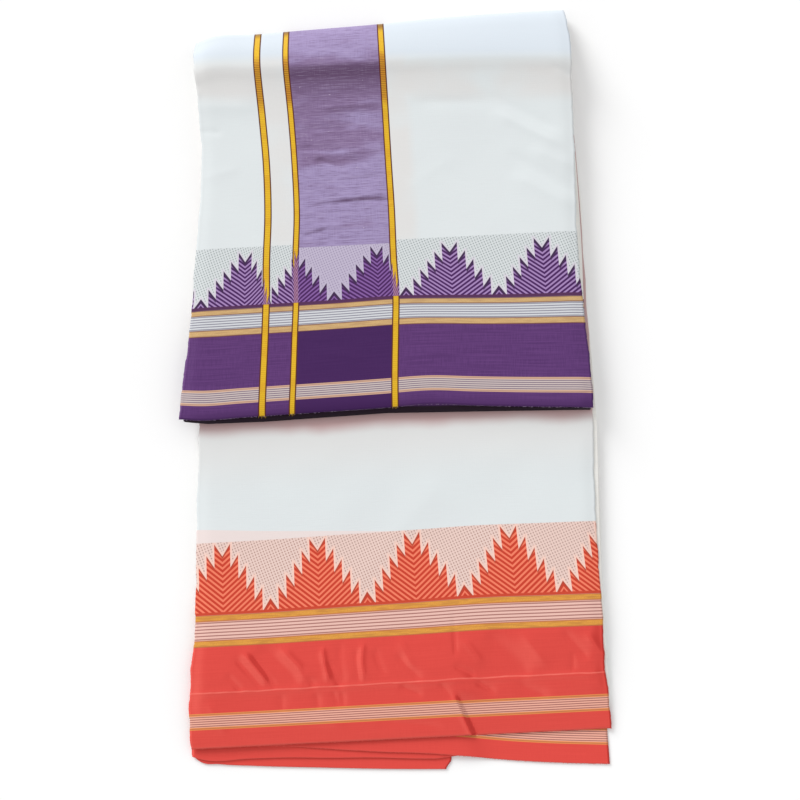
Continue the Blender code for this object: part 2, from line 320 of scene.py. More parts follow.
# %% The hems below the panel
# Layers that show under the orange hem: share across, front y
SECOND_HEM = ((0.0, -398.0), (0.22, -402.0), (0.37, -409.0), (0.46, -413.0), (0.55, -416.0),
              (0.65, -421.0), (0.77, -428.0), (0.86, -432.0), (1.0, -436.6))
THIRD_HEM = ((0.0, -408.0), (0.03, -411.0), (0.22, -413.0), (0.34, -413.6), (0.5, -416.2),
             (0.68, -418.4), (0.8, -421.0), (1.0, -424.0))
LOWEST_HEM = ((0.0, -406.0), (0.03, -413.0), (0.11, -417.0), (0.24, -420.4), (0.5, -425.6),
              (0.8, -431.0), (1.0, -433.4))

# The sides of those layers: left x, right x at the front, right x at the back
SECOND_SIDES = (-225.0, 211.0, 212.0)
THIRD_SIDES = (-226.0, 46.0, 47.0)
LOWEST_SIDES = (-226.6, 40.0, 46.0)
print("outline: the flap is", FLAP_SIDES[0][2] - FLAP_SIDES[0][1], "mm wide at its hem")

# %% [markdown]
# ## Creases
#
# Pressed and handled cotton keeps soft ridges and troughs. Each one is a line on the cloth with a
# height and a half width, and it fades toward both ends. A negative height makes a trough. They
# are placed one by one, because real creases are uneven: long here, short there, in loose groups.

# %% Creases of the panel
# x and y of one end, x and y of the other, height, half its width
PANEL_CREASES = (
    (-240, -344, 230, -344, 0.6, 3.2),
    (-60, -250, 60, -120, 0.5, 26.0),
    (-179, -308, -149, -343, -1.3, 4.2),
    (-170, -302, -142, -338, 1.4, 5.0),
    (-188, -326, -172, -345, -0.8, 4.0),
    (-160, -306, -134, -343, -1.5, 4.6),
    (-150, -298, -112, -340, -1.6, 10.0),
    (-128, -300, -98, -338, 1.4, 9.0),
    (-108, -322, -94, -345, -0.8, 4.5),
    (-84, -300, -80, -341, 1.1, 4.0),
    (-78, -316, -67, -346, -1.2, 4.5),
    (-66, -296, -65, -345, -0.9, 6.0),
    (-48, -304, -48, -342, -0.8, 4.0),
    (-42, -298, -43, -341, 1.1, 5.0),
    (-29, -306, -20, -336, -0.8, 5.0),
    (-4, -296, 12, -330, 0.8, 9.0),
    (-6, -314, 19, -342, -1.1, 6.0),
    (57, -272, 55, -322, -0.8, 3.0),
    (54, -328, 78, -340, -1.1, 3.6),
    (64, -300, 84, -330, 0.8, 8.0),
    (92, -298, 132, -342, -1.9, 10.0),
    (128, -296, 152, -334, 1.2, 13.0),
    (172, -298, 196, -328, -1.2, 6.0),
    (180, -320, 178, -341, -0.7, 3.6),
    (196, -300, 214, -328, 0.8, 7.0),
    (-131, -349, -129, -368, -0.8, 5.0),
    (-94, -350, -92, -368, -0.8, 4.5),
    (-76, -349, -71, -366, -0.8, 4.0),
    (-66, -349, -66, -366, -0.7, 3.6),
    (-5, -347, 18, -357, -0.9, 5.0),
    (38, -346, 50, -363, -0.9, 4.5),
    (76, -345, 96, -358, -0.9, 5.5),
    (120, -350, 152, -366, -0.8, 8.0),
    (-206, -352, -190, -386, 0.6, 8.0),
    (-30, -382, 40, -390, -0.5, 5.0),
    (-120, -374, -60, -384, 0.4, 6.0),
)

# %% Creases of the flap
FLAP_CREASES = (
    (128, 326, 216, 272, -1.2, 8.5),
    (134, 302, 218, 252, 1.6, 10.0),
    (178, 252, 228, 226, 1.0, 13.0),
    (150, 248, 228, 194, -1.7, 9.0),
    (152, 222, 226, 176, 1.1, 12.0),
    (-84, 193.5, -16, 199.5, -0.9, 2.2),
    (-30, 199, 16, 196, -1.5, 1.9),
    (-94, 267, -36, 262, -0.9, 6.0),
    (-72, 253, -32, 237, -1.0, 2.6),
    (40, 318, 150, 316, -1.1, 12.0),
    (-226, 326, -140, 322, 1.0, 14.0),
    (-208, 296, -182, 291, -1.0, 4.0),
    (-60, 203, 10, 208, 0.6, 7.0),
    (-95, 258, 10, 262, 0.6, 8.0),
    (-80, 246, -10, 247, -0.4, 5.0),
    (-91, 158, -58, 164.5, -0.8, 2.2),
    (-84, 168, -30, 171, 0.4, 4.0),
    (-40, 224, 8, 228, -0.5, 4.0),
    (-70, 317, 5, 319, 0.5, 6.0),
    (-92, 290, -20, 292, -0.4, 5.0),
    (-150, 60, 110, 40, 0.5, 20.0),
    (-219, 357, -207, 346, -1.3, 3.0),
    (-216, 349, -203, 338, 0.7, 4.0),
    (204, 356, 234, 340, -1.3, 4.0),
    (208, 366, 234, 352, 0.8, 5.0),
    (150, 150, 222, 118, 0.5, 14.0),
    (-206, 236, -160, 246, 0.5, 10.0),
    (30, 210, 90, 250, 0.4, 16.0),
    (-210, 20, -150, 8, 0.5, 9.0),
    (-90, 22, -20, 10, 0.5, 9.0),
    (40, 12, 120, 22, 0.4, 10.0),
)
print("creases:", len(PANEL_CREASES), "on the panel,", len(FLAP_CREASES), "on the flap")

# %% Raise the creases
# A ridge's section: how round its crest is, and how fast its sides fall
CREST_ROUNDING = 0.06
CREASE_FALL = 1.7

# Over what length a ridge fades at each end: share of its half width, share of its length, at most
FADE_OF_WIDTH = 1.3
FADE_OF_LENGTH = 0.25
LONGEST_FADE = 34.0

# How far the lines bend, and the lengths over which they do: across and along, for three bends
BEND = 0.9
LONG_BEND = (11.0, 60.0)
SHORT_BEND = (5.3, 33.0)
CROSS_BEND = (13.0, 50.0)

# No trough goes deeper, as the next layer lies right below
DEEPEST = 0.95


def creases(table, x, y):
    """Height that the creases of a table add at x, y. The crest is crisp, the foot runs out."""
    total = np.zeros(np.broadcast(x, y).shape)
    long_bend = BEND * np.sin(y / LONG_BEND[0] + x / LONG_BEND[1])
    short_bend = BEND / 2 * np.sin(y / SHORT_BEND[0] + x / SHORT_BEND[1])
    x = x + long_bend + short_bend
    y = y + BEND / 2 * np.sin(x / CROSS_BEND[0] + y / CROSS_BEND[1])
    for x0, y0, x1, y1, height, half in table:
        run = np.hypot(x1 - x0, y1 - y0)
        ux, uy = (x1 - x0) / run, (y1 - y0) / run
        ahead = (x - x0) * ux + (y - y0) * uy
        aside = (y - y0) * ux - (x - x0) * uy
        fading = min(max(FADE_OF_WIDTH * half, FADE_OF_LENGTH * run), LONGEST_FADE)
        fade = ease(-half / 2, fading, ahead) * ease(-half / 2, fading, run - ahead)
        crisp = np.sqrt((aside / half) ** 2 + CREST_ROUNDING) - math.sqrt(CREST_ROUNDING)
        total = total + height * fade * np.exp(-CREASE_FALL * crisp)
    return total


def laid(height):
    """Keeps troughs from going down into the layer below."""
    return np.where(height < 0, DEEPEST * np.tanh(height / DEEPEST), height)


# %% Gentle unevenness and loose edges
# Number of waves in laid cloth, and the shortest one as a share of the usual length
SOFT_WAVES = 7
SHORTEST_WAVE = 0.6

# Each wave along an edge is so many times shorter and lower than the one before
EDGE_WAVES = 6
EDGE_SHORTER = 1.7
EDGE_LOWER = 1.25


def softness(x, y, seed, height, length):
    """Gentle unevenness of laid cloth: a few waves in random directions, at most height high."""
    random = np.random.default_rng(seed)
    total = 0 * (x + y)
    for heading, phase, stretch in random.uniform(0, 1, (SOFT_WAVES, 3)):
        angle = 2 * np.pi * heading
        along = x * np.cos(angle) + y * np.sin(angle)
        wave = length * (SHORTEST_WAVE + stretch)
        total = total + np.sin(2 * np.pi * (along / wave + phase))
    return height * total / SOFT_WAVES


def wander(along, seed, height, length):
    """Small irregular waves along an edge, for cloth that no one has trimmed."""
    random = np.random.default_rng(seed)
    total = 0 * along
    for number in range(EDGE_WAVES):
        wave = length / EDGE_SHORTER ** number
        swing = np.sin(2 * np.pi * (along / wave + random.uniform()))
        total = total + swing / EDGE_LOWER ** number
    return height * total / (EDGE_WAVES / 2)


# %% [markdown]
# ## The threads carry the pattern
#
# A woven pattern follows the threads, wherever the cloth is pulled. So each sheet gets a UV map
# in metres of cloth: U along the borders, V in from the edge of the cloth. The tables say where a
# few threads lie on the folded packet, and the others are spread evenly between them. A pattern
# that is straight in the map then bends on the packet as the real one does.

# %% Threads of the flap
# The three gold stripes on the flap: y, then the x of each stripe's middle
STRIPE_LINES = (
    (-60, -142.4, -109.2, 5.0),
    (-47, -141.9, -108.7, 5.3),
    (-16, -140.0, -106.5, 6.5),
    (41, -136.1, -102.9, 10.0),
    (80, -133.9, -100.3, 12.3),
    (130, -132.3, -99.3, 11.8),
    (185, -129.2, -96.2, 12.2),
    (246, -129.3, -96.8, 11.4),
    (308, -132.8, -99.3, 10.9),
    (374, -136.9, -103.0, 10.3),
    (418, -136.5, -102.6, 10.0),
    (440, -136.5, -102.6, 10.0),
)

# The U of those three threads
STRIPE_U = (84.0, 117.6, 230.2)

# Upper edge of the border's upper gold line: x, y on the flap. Its V, and then the y and V of the
# spires' tips
FLAP_GOLD_LINE = ((-236, 75.0), (-139, 75.8), (-53, 76.7), (16, 78.2), (74, 75.9), (133, 73.2),
                  (234, 71.0))
FLAP_GOLD_V = 123.8
FLAP_TIPS_Y = 142.7
FLAP_TIPS_V = 191.4

# Where the violet spires lie along the border: U, then the pattern's own length there.
# The loom skips part of the pattern under each gold stripe.
SPIRE_PHASE = ((-10, -21.0), (10.2, 0), (53, 44.4), (66.6, 60.6), (80, 80), (89, 112.8),
               (105, 131.1), (114.1, 141.2), (120.8, 165.6), (136.4, 183.9), (160.6, 210),
               (204.6, 254.4), (226.2, 281.5), (234, 306.5), (241.8, 315), (346.4, 420),
               (470, 543.6))

# %% Threads of the lower panel
# Upper edge of the upper gold line: x, y on the panel. Its V follows, and the y where V is 0
PANEL_GOLD_LINE = ((-228, -263.1), (-140, -262.8), (-61, -261.3), (18, -260.0), (86, -258.5),
                   (162, -259.5), (216, -260.2))
PANEL_GOLD_V = 140.0
PANEL_FRONT_Y = -400.5

# The orange spires: U, the x of that thread at the foot of the spires, its lean
PANEL_THREADS = ((0, -241.5, 0.0), (52.5, -189.5, 0.0), (105, -138.6, 0.0), (157.5, -86.3, 0.0),
                 (210, -34.5, -0.01), (262.5, 17.9, -0.025), (315, 70.2, -0.035),
                 (367.5, 124.5, -0.046), (420, 176.5, -0.05), (472.5, 229.0, -0.055))
PANEL_FOOT_Y = -258.0


# %% From threads to a UV map
def between_threads(lines, values, x):
    """Value at x between neighbouring threads. It runs on beyond the outermost, 1 for 1."""
    out = values[0] + (x - lines[0])
    for number in range(len(lines) - 1):
        left, right = lines[number], lines[number + 1]
        inside = mix(values[number], values[number + 1], (x - left) / (right - left))
        out = np.where(x > left, inside, out)
    return np.where(x > lines[-1], values[-1] + (x - lines[-1]), out)


def along_rows(y, z, start):
    """Cloth length down each column, from the first row's value on."""
    step = np.hypot(np.diff(y, axis=0), np.diff(z, axis=0))
    return start + np.vstack([0 * step[:1], np.cumsum(step, axis=0)])


# %% Make a sheet of cloth from rows of points
CLOTH_WALL = 0.6


def cloth_sheet(name, x, y, z, maps, material, wall=CLOTH_WALL, offset=-1):
    """A sheet through a grid of points in mm, with its UV maps and a thin wall."""
    rows, columns = x.shape
    points = np.stack([x, y, z], axis=-1).reshape(-1, 3) * MM
    index = np.arange(rows * columns).reshape(rows, columns)
    corners = [index[:-1, :-1], index[:-1, 1:], index[1:, 1:], index[1:, :-1]]
    faces = np.stack(corners, axis=-1).reshape(-1, 4)
    mesh = bpy.data.meshes.new(name)
    mesh.from_pydata(points.tolist(), [], faces.tolist())
    for map_name, (across, along) in maps.items():
        layer = mesh.uv_layers.new(name=map_name)
        place = np.stack([across, along], axis=-1).reshape(-1, 2) * MM
        layer.data.foreach_set("uv", place[faces.ravel()].ravel())
    mesh.materials.append(material)
    mesh.shade_smooth()
    piece = put(name, mesh)
    thickness = piece.modifiers.new("wall", "SOLIDIFY")
    thickness.thickness = wall * MM
    thickness.offset = offset
    print(name, "has", rows, "x", columns, "points")
    return piece


def spread(start, end, step):
    """Even places from start to end, about step apart."""
    return np.linspace(start, end, int(round(abs(end - start) / step)) + 1)


# %% [markdown]
# ## Nodes that read like sums
#
# The pattern is arithmetic on U and V, so it takes many Math nodes. A small class lets Python's own
# signs make them: `(a - b) * 2` adds a Subtract and a Multiply node, already linked. The material
# that comes out holds plain nodes only, and each one can be opened and changed in the editor.

# %% A number in a node tree
class Amount:
    """A number that changes over the cloth."""

    def __init__(self, tree, socket):
        self.tree = tree
        self.socket = socket

    def by(self, operation, *others):
        """Any other operation of the Math node."""
        return math_node(self.tree, operation, self, *others)

    def __add__(self, other):
        return self.by("ADD", other)

    def __sub__(self, other):
        return self.by("SUBTRACT", other)

    def __mul__(self, other):
        return self.by("MULTIPLY", other)

    def __truediv__(self, other):
        return self.by("DIVIDE", other)

    def __rsub__(self, other):
        return math_node(self.tree, "SUBTRACT", other, self)

    __radd__ = __add__
    __rmul__ = __mul__

    def rises(self, low, high):
        """0 below low, 1 above high, smooth between."""
        node = self.tree.nodes.new("ShaderNodeMapRange")
        node.interpolation_type = "SMOOTHSTEP"
        self.tree.links.new(self.socket, node.inputs["Value"])
        node.inputs["From Min"].default_value = low
        node.inputs["From Max"].default_value = high
        return Amount(self.tree, node.outputs["Result"])

    def falls(self, low, high):
        """1 below low, 0 above high, smooth between."""
        return 1 - self.rises(low, high)

    def within(self, low, high, soft=0.25):
        """1 between low and high, 0 outside, with soft edges."""
        return self.rises(low - soft, low + soft) * self.falls(high - soft, high + soft)


def math_node(tree, operation, *values):
    """A Math node on amounts and plain numbers."""
    node = tree.nodes.new("ShaderNodeMath")
    node.operation = operation
    for number, value in enumerate(values):
        if isinstance(value, Amount):
            tree.links.new(value.socket, node.inputs[number])
        else:
            node.inputs[number].default_value = value
    return Amount(tree, node.outputs["Value"])


# %% Colours
def screen_colour(red, green, blue):
    """Linear colour from the 0 to 255 values that a screen shows."""
    shares = [value / 255 for value in (red, green, blue)]
    return [s / 12.92 if s <= 0.04045 else ((s + 0.055) / 1.055) ** 2.4 for s in shares] + [1.0]


def dye(tree, under, over, cover):
    """Colour over another one, where cover is 1."""
    node = tree.nodes.new("ShaderNodeMix")
    node.data_type = "RGBA"
    for socket, value in ((node.inputs[6], under), (node.inputs[7], over)):
        if isinstance(value, bpy.types.NodeSocket):
            tree.links.new(value, socket)
        else:
            socket.default_value = value
    tree.links.new(cover.socket, node.inputs[0])
    return node.outputs[2]


# %% Noise
NOISE_DETAIL = 2.0


def streaks(tree, u, v, u_size, v_size):
    """Noise of about 0 to 1 whose patches are u_size by v_size mm."""
    place = tree.nodes.new("ShaderNodeCombineXYZ")
    tree.links.new((u / u_size).socket, place.inputs[0])
    tree.links.new((v / v_size).socket, place.inputs[1])
    noise = tree.nodes.new("ShaderNodeTexNoise")
    noise.noise_dimensions = "2D"
    noise.inputs["Scale"].default_value = 1.0
    noise.inputs["Detail"].default_value = NOISE_DETAIL
    tree.links.new(place.outputs[0], noise.inputs["Vector"])
    return Amount(tree, noise.outputs[0])


def patchy(tree, u, v, patch):
    """Patches of noise: their size along U and V, where they begin and end, how strong they are."""
    u_size, v_size, low, high, strength = patch
    return streaks(tree, u, v, u_size, v_size).rises(low, high) * strength


# %% Places and tilts on the cloth
def cloth_place(tree, map_name):
    """U and V of one map, in mm."""
    source = tree.nodes.new("ShaderNodeUVMap")
    source.uv_map = map_name
    parts = tree.nodes.new("ShaderNodeSeparateXYZ")
    tree.links.new(source.outputs[0], parts.inputs[0])
    u, v = Amount(tree, parts.outputs[0]), Amount(tree, parts.outputs[1])
    return u * MM_IN_METRE, v * MM_IN_METRE


def facing_away(tree, lit_side):
    """How far the cloth tilts away from the lit side: 0 where level, 0.2 on a crease's side."""
    place = tree.nodes.new("ShaderNodeTexCoord")
    parts = tree.nodes.new("ShaderNodeSeparateXYZ")
    tree.links.new(place.outputs["Normal"], parts.inputs[0])
    x, y = Amount(tree, parts.outputs[0]), Amount(tree, parts.outputs[1])
    return 0 - (x * lit_side[0] + y * lit_side[1])


# %% [markdown]
# ## The temple border
#
# The border shows rows of stepped spires, an old pattern of south Indian looms. One spire is six
# steps wide on each side of its middle. Every step has an upright outer side and a slanting top,
# so the outline is a saw that climbs to twin tips. Inside, light lines run as nested Vs.
#
# With a as the distance from the middle in steps and c as a rounded up, the outline's height is
# 7 - c - 1.1 (c - a). A copy of the outline that is moved out a little gives the pale rim.

# %% Sizes of the temple spires
SPIRE_WIDTH = 105.0
HALF_STEPS = 6
STEP_WIDTH = SPIRE_WIDTH / 2 / HALF_STEPS
TIP_DROP = 1.1
CHEVRON_SLOPE = 0.6
CHEVRONS_PER_STEP = 2.1
RIM_ASIDE = 0.24
RIM_ABOVE = 0.3

# Where edges and lines begin and end, in steps: the outline, the foot, the rim, the light lines,
# the dark margin inside the outline and, around its own depth, the dark tip
OUTLINE_EDGE = (-0.04, 0.06)
FOOT_EDGE = (-0.1, 0.0)
RIM_EDGE = (-0.1, 0.1)
CHEVRON_LINE = (0.19, 0.27)
MARGIN = (0.12, 0.3)
TIP_EDGE = (-0.2, 0.1)

# The outermost column is small and has one line, which runs along under its own top
SMALL_COLUMN = (4.98, 5.0)
ROOF_SLOPE = 0.95
ROOF_BELOW = 0.38
ROOF_LINE = (0.05, 0.15)

# The dotted ground: distance and turn of the dots, where one begins and ends, and how much less
# its second direction counts, as the dots are a little long
DOT_PITCH = 3.1
DOT_TURN = math.radians(20)
DOT_SIZE = (0.02, 0.10)
DOT_STRETCH = 0.6

# How much of the dots, of the rim and of the tip's colour comes in
DOT_COVER = 0.85
RIM_COVER = 0.9
TIP_COVER = 0.8

# %% Colours of the spires
# tip_depth says how far down the tip's own colour reaches, in steps
VIOLET_SPIRES = {
    "dark": screen_colour(70, 30, 90),
    "light": screen_colour(164, 132, 184),
    "tip": screen_colour(60, 40, 72),
    "tip_depth": 0.5,
    "rim": screen_colour(212, 206, 216),
    "ground": screen_colour(211, 216, 217),
    "dot": screen_colour(146, 154, 156),
}
ORANGE_SPIRES = {
    "dark": screen_colour(198, 62, 42),
    "light": screen_colour(240, 126, 98),
    "tip": screen_colour(172, 74, 52),
    "tip_depth": 0.28,
    "rim": screen_colour(242, 204, 190),
    "ground": screen_colour(229, 202, 193),
    "dot": screen_colour(172, 134, 124),
}


# %% Temple spires
def spire_outline(aside):
    """Height of the outline, in steps, at a distance from the middle in steps."""
    column = aside.by("CEIL").by("MAXIMUM", 1)
    return (HALF_STEPS + 1) - column - (column - aside) * TIP_DROP


def temple_spires(tree, cloth, pattern, foot, step, top, colours):
    """The spires and their dotted ground, over a cloth colour. It also returns their cover."""
    u, v = pattern
    aside = HALF_STEPS - u.by("PINGPONG", SPIRE_WIDTH / 2) / STEP_WIDTH
    height = (v - foot) / step
    outline = spire_outline(aside)
    spire = (outline - height).rises(*OUTLINE_EDGE) * height.rises(*FOOT_EDGE)

    moved = spire_outline((aside - RIM_ASIDE).by("MAXIMUM", 0))
    rim = (moved + RIM_ABOVE).by("MAXIMUM", outline + RIM_ABOVE)
    bare = (rim - height).rises(*RIM_EDGE)

    cos, sin = math.cos(DOT_TURN), math.sin(DOT_TURN)
    dot_u = ((u * cos + v * sin) / DOT_PITCH).by("FRACT") - 0.5
    dot_v = ((v * cos - u * sin) / DOT_PITCH).by("FRACT") - 0.5
    dot = (dot_u * dot_u + dot_v * dot_v * DOT_STRETCH).falls(*DOT_SIZE)

    line = ((height - aside * CHEVRON_SLOPE) * CHEVRONS_PER_STEP).by("PINGPONG", 0.5)
    light = line.falls(*CHEVRON_LINE)
    small = aside.rises(*SMALL_COLUMN)
    below_roof = height + (HALF_STEPS - aside) * ROOF_SLOPE - ROOF_BELOW
    roof = below_roof.by("ABSOLUTE").falls(*ROOF_LINE)
    light = light * (1 - small) + roof * small
    depth = outline - height
    tip = depth.falls(*(colours["tip_depth"] + edge for edge in TIP_EDGE))
    light = light * (1 - tip) * depth.rises(*MARGIN)

    grounded = v.within(foot - 2, top, 0.6)
    ground = dye(tree, colours["ground"], colours["dot"], dot * DOT_COVER)
    ground = dye(tree, ground, colours["rim"], bare * RIM_COVER)
    body = dye(tree, colours["dark"], colours["tip"], tip * TIP_COVER)
    body = dye(tree, body, colours["light"], light)
    cloth = dye(tree, cloth, ground, grounded)
    cover = spire * grounded
    return dye(tree, cloth, body, cover), cover


# %% [markdown]
# ## The plain bands of the border
#
# From the edge of the cloth inward: a solid hem, a band of hair-thin stripes, a wide solid band, a
# gold line, white with dark pin stripes, another gold line, and a dark foot line under the spires.
# All of them are warp threads, so their pattern depends on V alone. On slopes, painted light and
# painted shade come in.

# %% Tables of the bands
# The first numbers are the V where each band ends, and "step" is the height of a spire's step.
# On a slope, painted light and shade: "lit" and "turn" say how much of the lit colour, a painted
# highlight, and of the deep colour, as painted shade, comes in, "lit_side" is the direction from
# which the painted light comes, and "contrast" makes slopes count for more.
VIOLET_BANDS = {
    "hem": 15.4, "thin": 32.4, "solid": 93.4, "gold_low": 100.5, "pins": 117.9, "gold_high": 123.8,
    "foot": 127.8, "step": 10.6, "ground": 197.6,
    "solid_colour": screen_colour(97, 58, 117),
    "deep_colour": screen_colour(68, 34, 88),
    "lit_colour": screen_colour(122, 86, 140),
    "gold_colour": screen_colour(208, 172, 118),
    "gold_dark": screen_colour(178, 140, 100),
    "foot_colour": screen_colour(84, 46, 84),
    "pin_ground": screen_colour(208, 210, 214),
    "pin_colour": screen_colour(100, 96, 118),
    "thin_ground": screen_colour(204, 190, 186),
    "thin_colour": screen_colour(92, 64, 100),
    "thin_edge": screen_colour(214, 172, 142),
    "outline": screen_colour(104, 46, 50),
    "mottle": 0.5, "turn": 0.7, "lit": 0.8, "lit_side": (-0.62, 0.78), "contrast": 1.0,
}
ORANGE_BANDS = {
    "hem": 19.4, "thin": 36.4, "solid": 106.6, "gold_low": 112.9, "pins": 133.8, "gold_high": 140.0,
    "foot": 143.2, "step": 12.2, "ground": 218.2,
    "solid_colour": screen_colour(221, 74, 66),
    "deep_colour": screen_colour(188, 44, 38),
    "lit_colour": screen_colour(240, 104, 92),
    "gold_colour": screen_colour(224, 158, 68),
    "gold_dark": screen_colour(184, 122, 60),
    "foot_colour": screen_colour(200, 70, 48),
    "pin_ground": screen_colour(232, 188, 176),
    "pin_colour": screen_colour(146, 86, 80),
    "thin_ground": screen_colour(238, 176, 156),
    "thin_colour": screen_colour(142, 74, 72),
    "thin_edge": screen_colour(226, 140, 78),
    "outline": screen_colour(184, 100, 54),
    "mottle": 0.12, "turn": 0.7, "lit": 0.45, "lit_side": (-0.88, -0.47), "contrast": 1.7,
}

# %% The solid band
# Sizes along U and V of the streaks in the weft and in the warp, the weft's share, and where the
# mottle that they make begins and ends
WEFT_STREAKS = (0.9, 14.0)
WARP_STREAKS = (60.0, 0.8)
WEFT_SHARE = 0.35
MOTTLE = (0.38, 0.62)

# How soft the solid band's far edge is, and the metal's
SHARP_EDGE = 0.2

# Tilts toward the light, and away from it, between which a slope gets painted light and painted
# shade
LIT_TILTS = (-0.3, -0.02)
SHADE_TILTS = (0.04, 0.32)


def solid_band(tree, cloth, u, v, bands):
    """The wide band, from the hem on, with painted light and shade on slopes. Also returns the
    painted shade.
    """
    weft = streaks(tree, u, v, *WEFT_STREAKS)
    warp = streaks(tree, u, v, *WARP_STREAKS)
    mottle = (weft * WEFT_SHARE + warp * (1 - WEFT_SHARE)).rises(*MOTTLE) * bands["mottle"]
    # Painted highlight where a slope faces the lit side, painted shade where it faces away
    away = facing_away(tree, bands["lit_side"]) * bands["contrast"]
    lit = away.falls(*LIT_TILTS) * bands["lit"]
    shade = away.rises(*SHADE_TILTS) * bands["turn"]
    solid = dye(tree, bands["solid_colour"], bands["lit_colour"], lit)
    solid = dye(tree, solid, bands["deep_colour"], mottle.by("MAXIMUM", shade))
    on_band = v.falls(bands["solid"] - SHARP_EDGE, bands["solid"] + SHARP_EDGE)
    return dye(tree, cloth, solid, on_band), shade


# %% The two striped bands
# How soft a woven edge is, and how much of a stripe's colour comes in
WOVEN_EDGE = 0.3
STRIPE_COVER = 0.85

# Stripes and where one begins and ends, in shares of their distance
PIN_STRIPES = 6
PIN_LINE = (0.10, 0.24)
THIN_STRIPES = 5
THIN_LINE = (0.12, 0.28)

# Width of the coloured margins of the thin band, the line that doubles them, and how much of the
# painted shade on a slope comes in there
THIN_EDGE = 2.6
DOUBLE_LINE = (0.15, 0.5)
DOUBLE_COVER = 0.6
THIN_SHADE = 0.3


def stripes_between(tree, v, low, high, number, line, ground, colour):
    """A number of stripes along the border, evenly between two places."""
    count = (v - low) / (high - low) * number
    stripe = (count.by("FRACT") - 0.5).by("ABSOLUTE").falls(*line)
    return dye(tree, ground, colour, stripe * STRIPE_COVER)


def thin_band(tree, cloth, v, bands, shade):
    """Hair-thin stripes between two coloured margins, above the hem, with painted shade on slopes.
    """
    low, high = bands["hem"], bands["thin"]
    inner = (low + THIN_EDGE, high - THIN_EDGE)
    thin = stripes_between(
        tree, v, *inner, THIN_STRIPES, THIN_LINE, bands["thin_ground"], bands["thin_colour"])
    thin = dye(tree, bands["thin_edge"], thin, v.within(*inner, WOVEN_EDGE))
    thin = dye(tree, thin, bands["thin_colour"], shade * THIN_SHADE)
    doubled = (v - (low + high) / 2).by("ABSOLUTE") - (high - low - THIN_EDGE) / 2
    double_line = doubled.by("ABSOLUTE").falls(*DOUBLE_LINE) * DOUBLE_COVER
    thin = dye(tree, thin, bands["thin_colour"], double_line)
    return dye(tree, cloth, thin, v.within(low, high, WOVEN_EDGE))


def pin_band(tree, cloth, v, bands):
    """White with dark pin stripes, between the gold lines."""
    low, high = bands["gold_low"], bands["pins"]
    pins = stripes_between(
        tree, v, low, high, PIN_STRIPES, PIN_LINE, bands["pin_ground"], bands["pin_colour"])
    return dye(tree, cloth, pins, v.within(low, high, WOVEN_EDGE))


# %% Gold lines, and all the bands together
GOLD_WORN = (22.0, 1.8, 0.42, 0.62, 0.6)
GOLD_GLINT = (0.9, 1.2, 0.45, 0.62, 0.4)
OUTLINE_LINE = (0.35, 0.9)
OUTLINE_COVER = 0.75


def gold_lines(tree, cloth, u, v, bands):
    """The two gold lines, with thin outlines. Also returns their cover."""
    gold = v.within(bands["solid"], bands["gold_low"], WOVEN_EDGE)
    gold = gold + v.within(bands["pins"], bands["gold_high"], WOVEN_EDGE)
    dull = patchy(tree, u, v, GOLD_WORN).by("MAXIMUM", patchy(tree, u, v, GOLD_GLINT))
    cloth = dye(tree, cloth, dye(tree, bands["gold_colour"], bands["gold_dark"], dull), gold)
    for edge in ("solid", "gold_low", "pins", "gold_high"):
        line = (v - bands[edge]).by("ABSOLUTE").falls(*OUTLINE_LINE)
        cloth = dye(tree, cloth, bands["outline"], line * OUTLINE_COVER)
    return cloth, gold


def border_bands(tree, cloth, u, v, bands):
    """The border's bands over a cloth colour. Also returns the cover of the gold lines."""
    cloth, shade = solid_band(tree, cloth, u, v, bands)
    cloth = thin_band(tree, cloth, v, bands, shade)
    cloth = pin_band(tree, cloth, v, bands)
    cloth, gold = gold_lines(tree, cloth, u, v, bands)
    foot = v.within(bands["gold_high"] + WOVEN_EDGE, bands["foot"], WOVEN_EDGE)
    return dye(tree, cloth, bands["foot_colour"], foot), gold


# %% [markdown]
# ## The cross band and its gold stripes
#
# Three stripes of flat metal thread cross the cloth near its end, with a lilac band between the
# second and the third, where violet weft crosses the white warp. Under the spires the metal thread
# runs on the back of the cloth, and only a mottle of it shows.

# %% The lilac band
# Where it begins and ends along U, and how soft its edges are
CROSS_BAND = (120.6, 227.0, 0.4)
# Lilac with a painted highlight, plain lilac, lilac with painted shade that also colours the dark
# threads, and pale slubs
LILAC_LIT = screen_colour(160, 144, 186)
LILAC = screen_colour(136, 113, 152)
DARK_THREAD_AND_SHADE_LILAC = screen_colour(94, 68, 100)
LILAC_SLUB = screen_colour(176, 160, 190)

# Sizes along U and V of the streaks in it, and the share of each kind that is a line
FINE_LINES = (14.0, 0.55)
LONG_LINES = (70.0, 1.3)
WARP_LINES = (0.8, 20.0)
LINE_SHARES = (0.5, 0.35, 0.15)
LILAC_CLOUDS = (60.0, 26.0)
CLOUD_STRENGTH = 0.56

# It is paler from the border up to these V, and by how much in terms of a tilt toward the light
LILAC_PALER_V = (282, 300)
LILAC_PALER = 0.22

# Tilts away from the light between which the lilac with a painted highlight, the plain and the
# lilac with painted shade change, then where the darker and the paler lines begin and end. The
# last number of three is a strength.
LILAC_TILTS = (-0.2, 0.05)
LILAC_SHADE = (0.0, 0.2, 0.9)
DARK_LINES = (0.46, 0.66, 0.55)
PALE_LINES = (0.36, 0.48, 0.35)


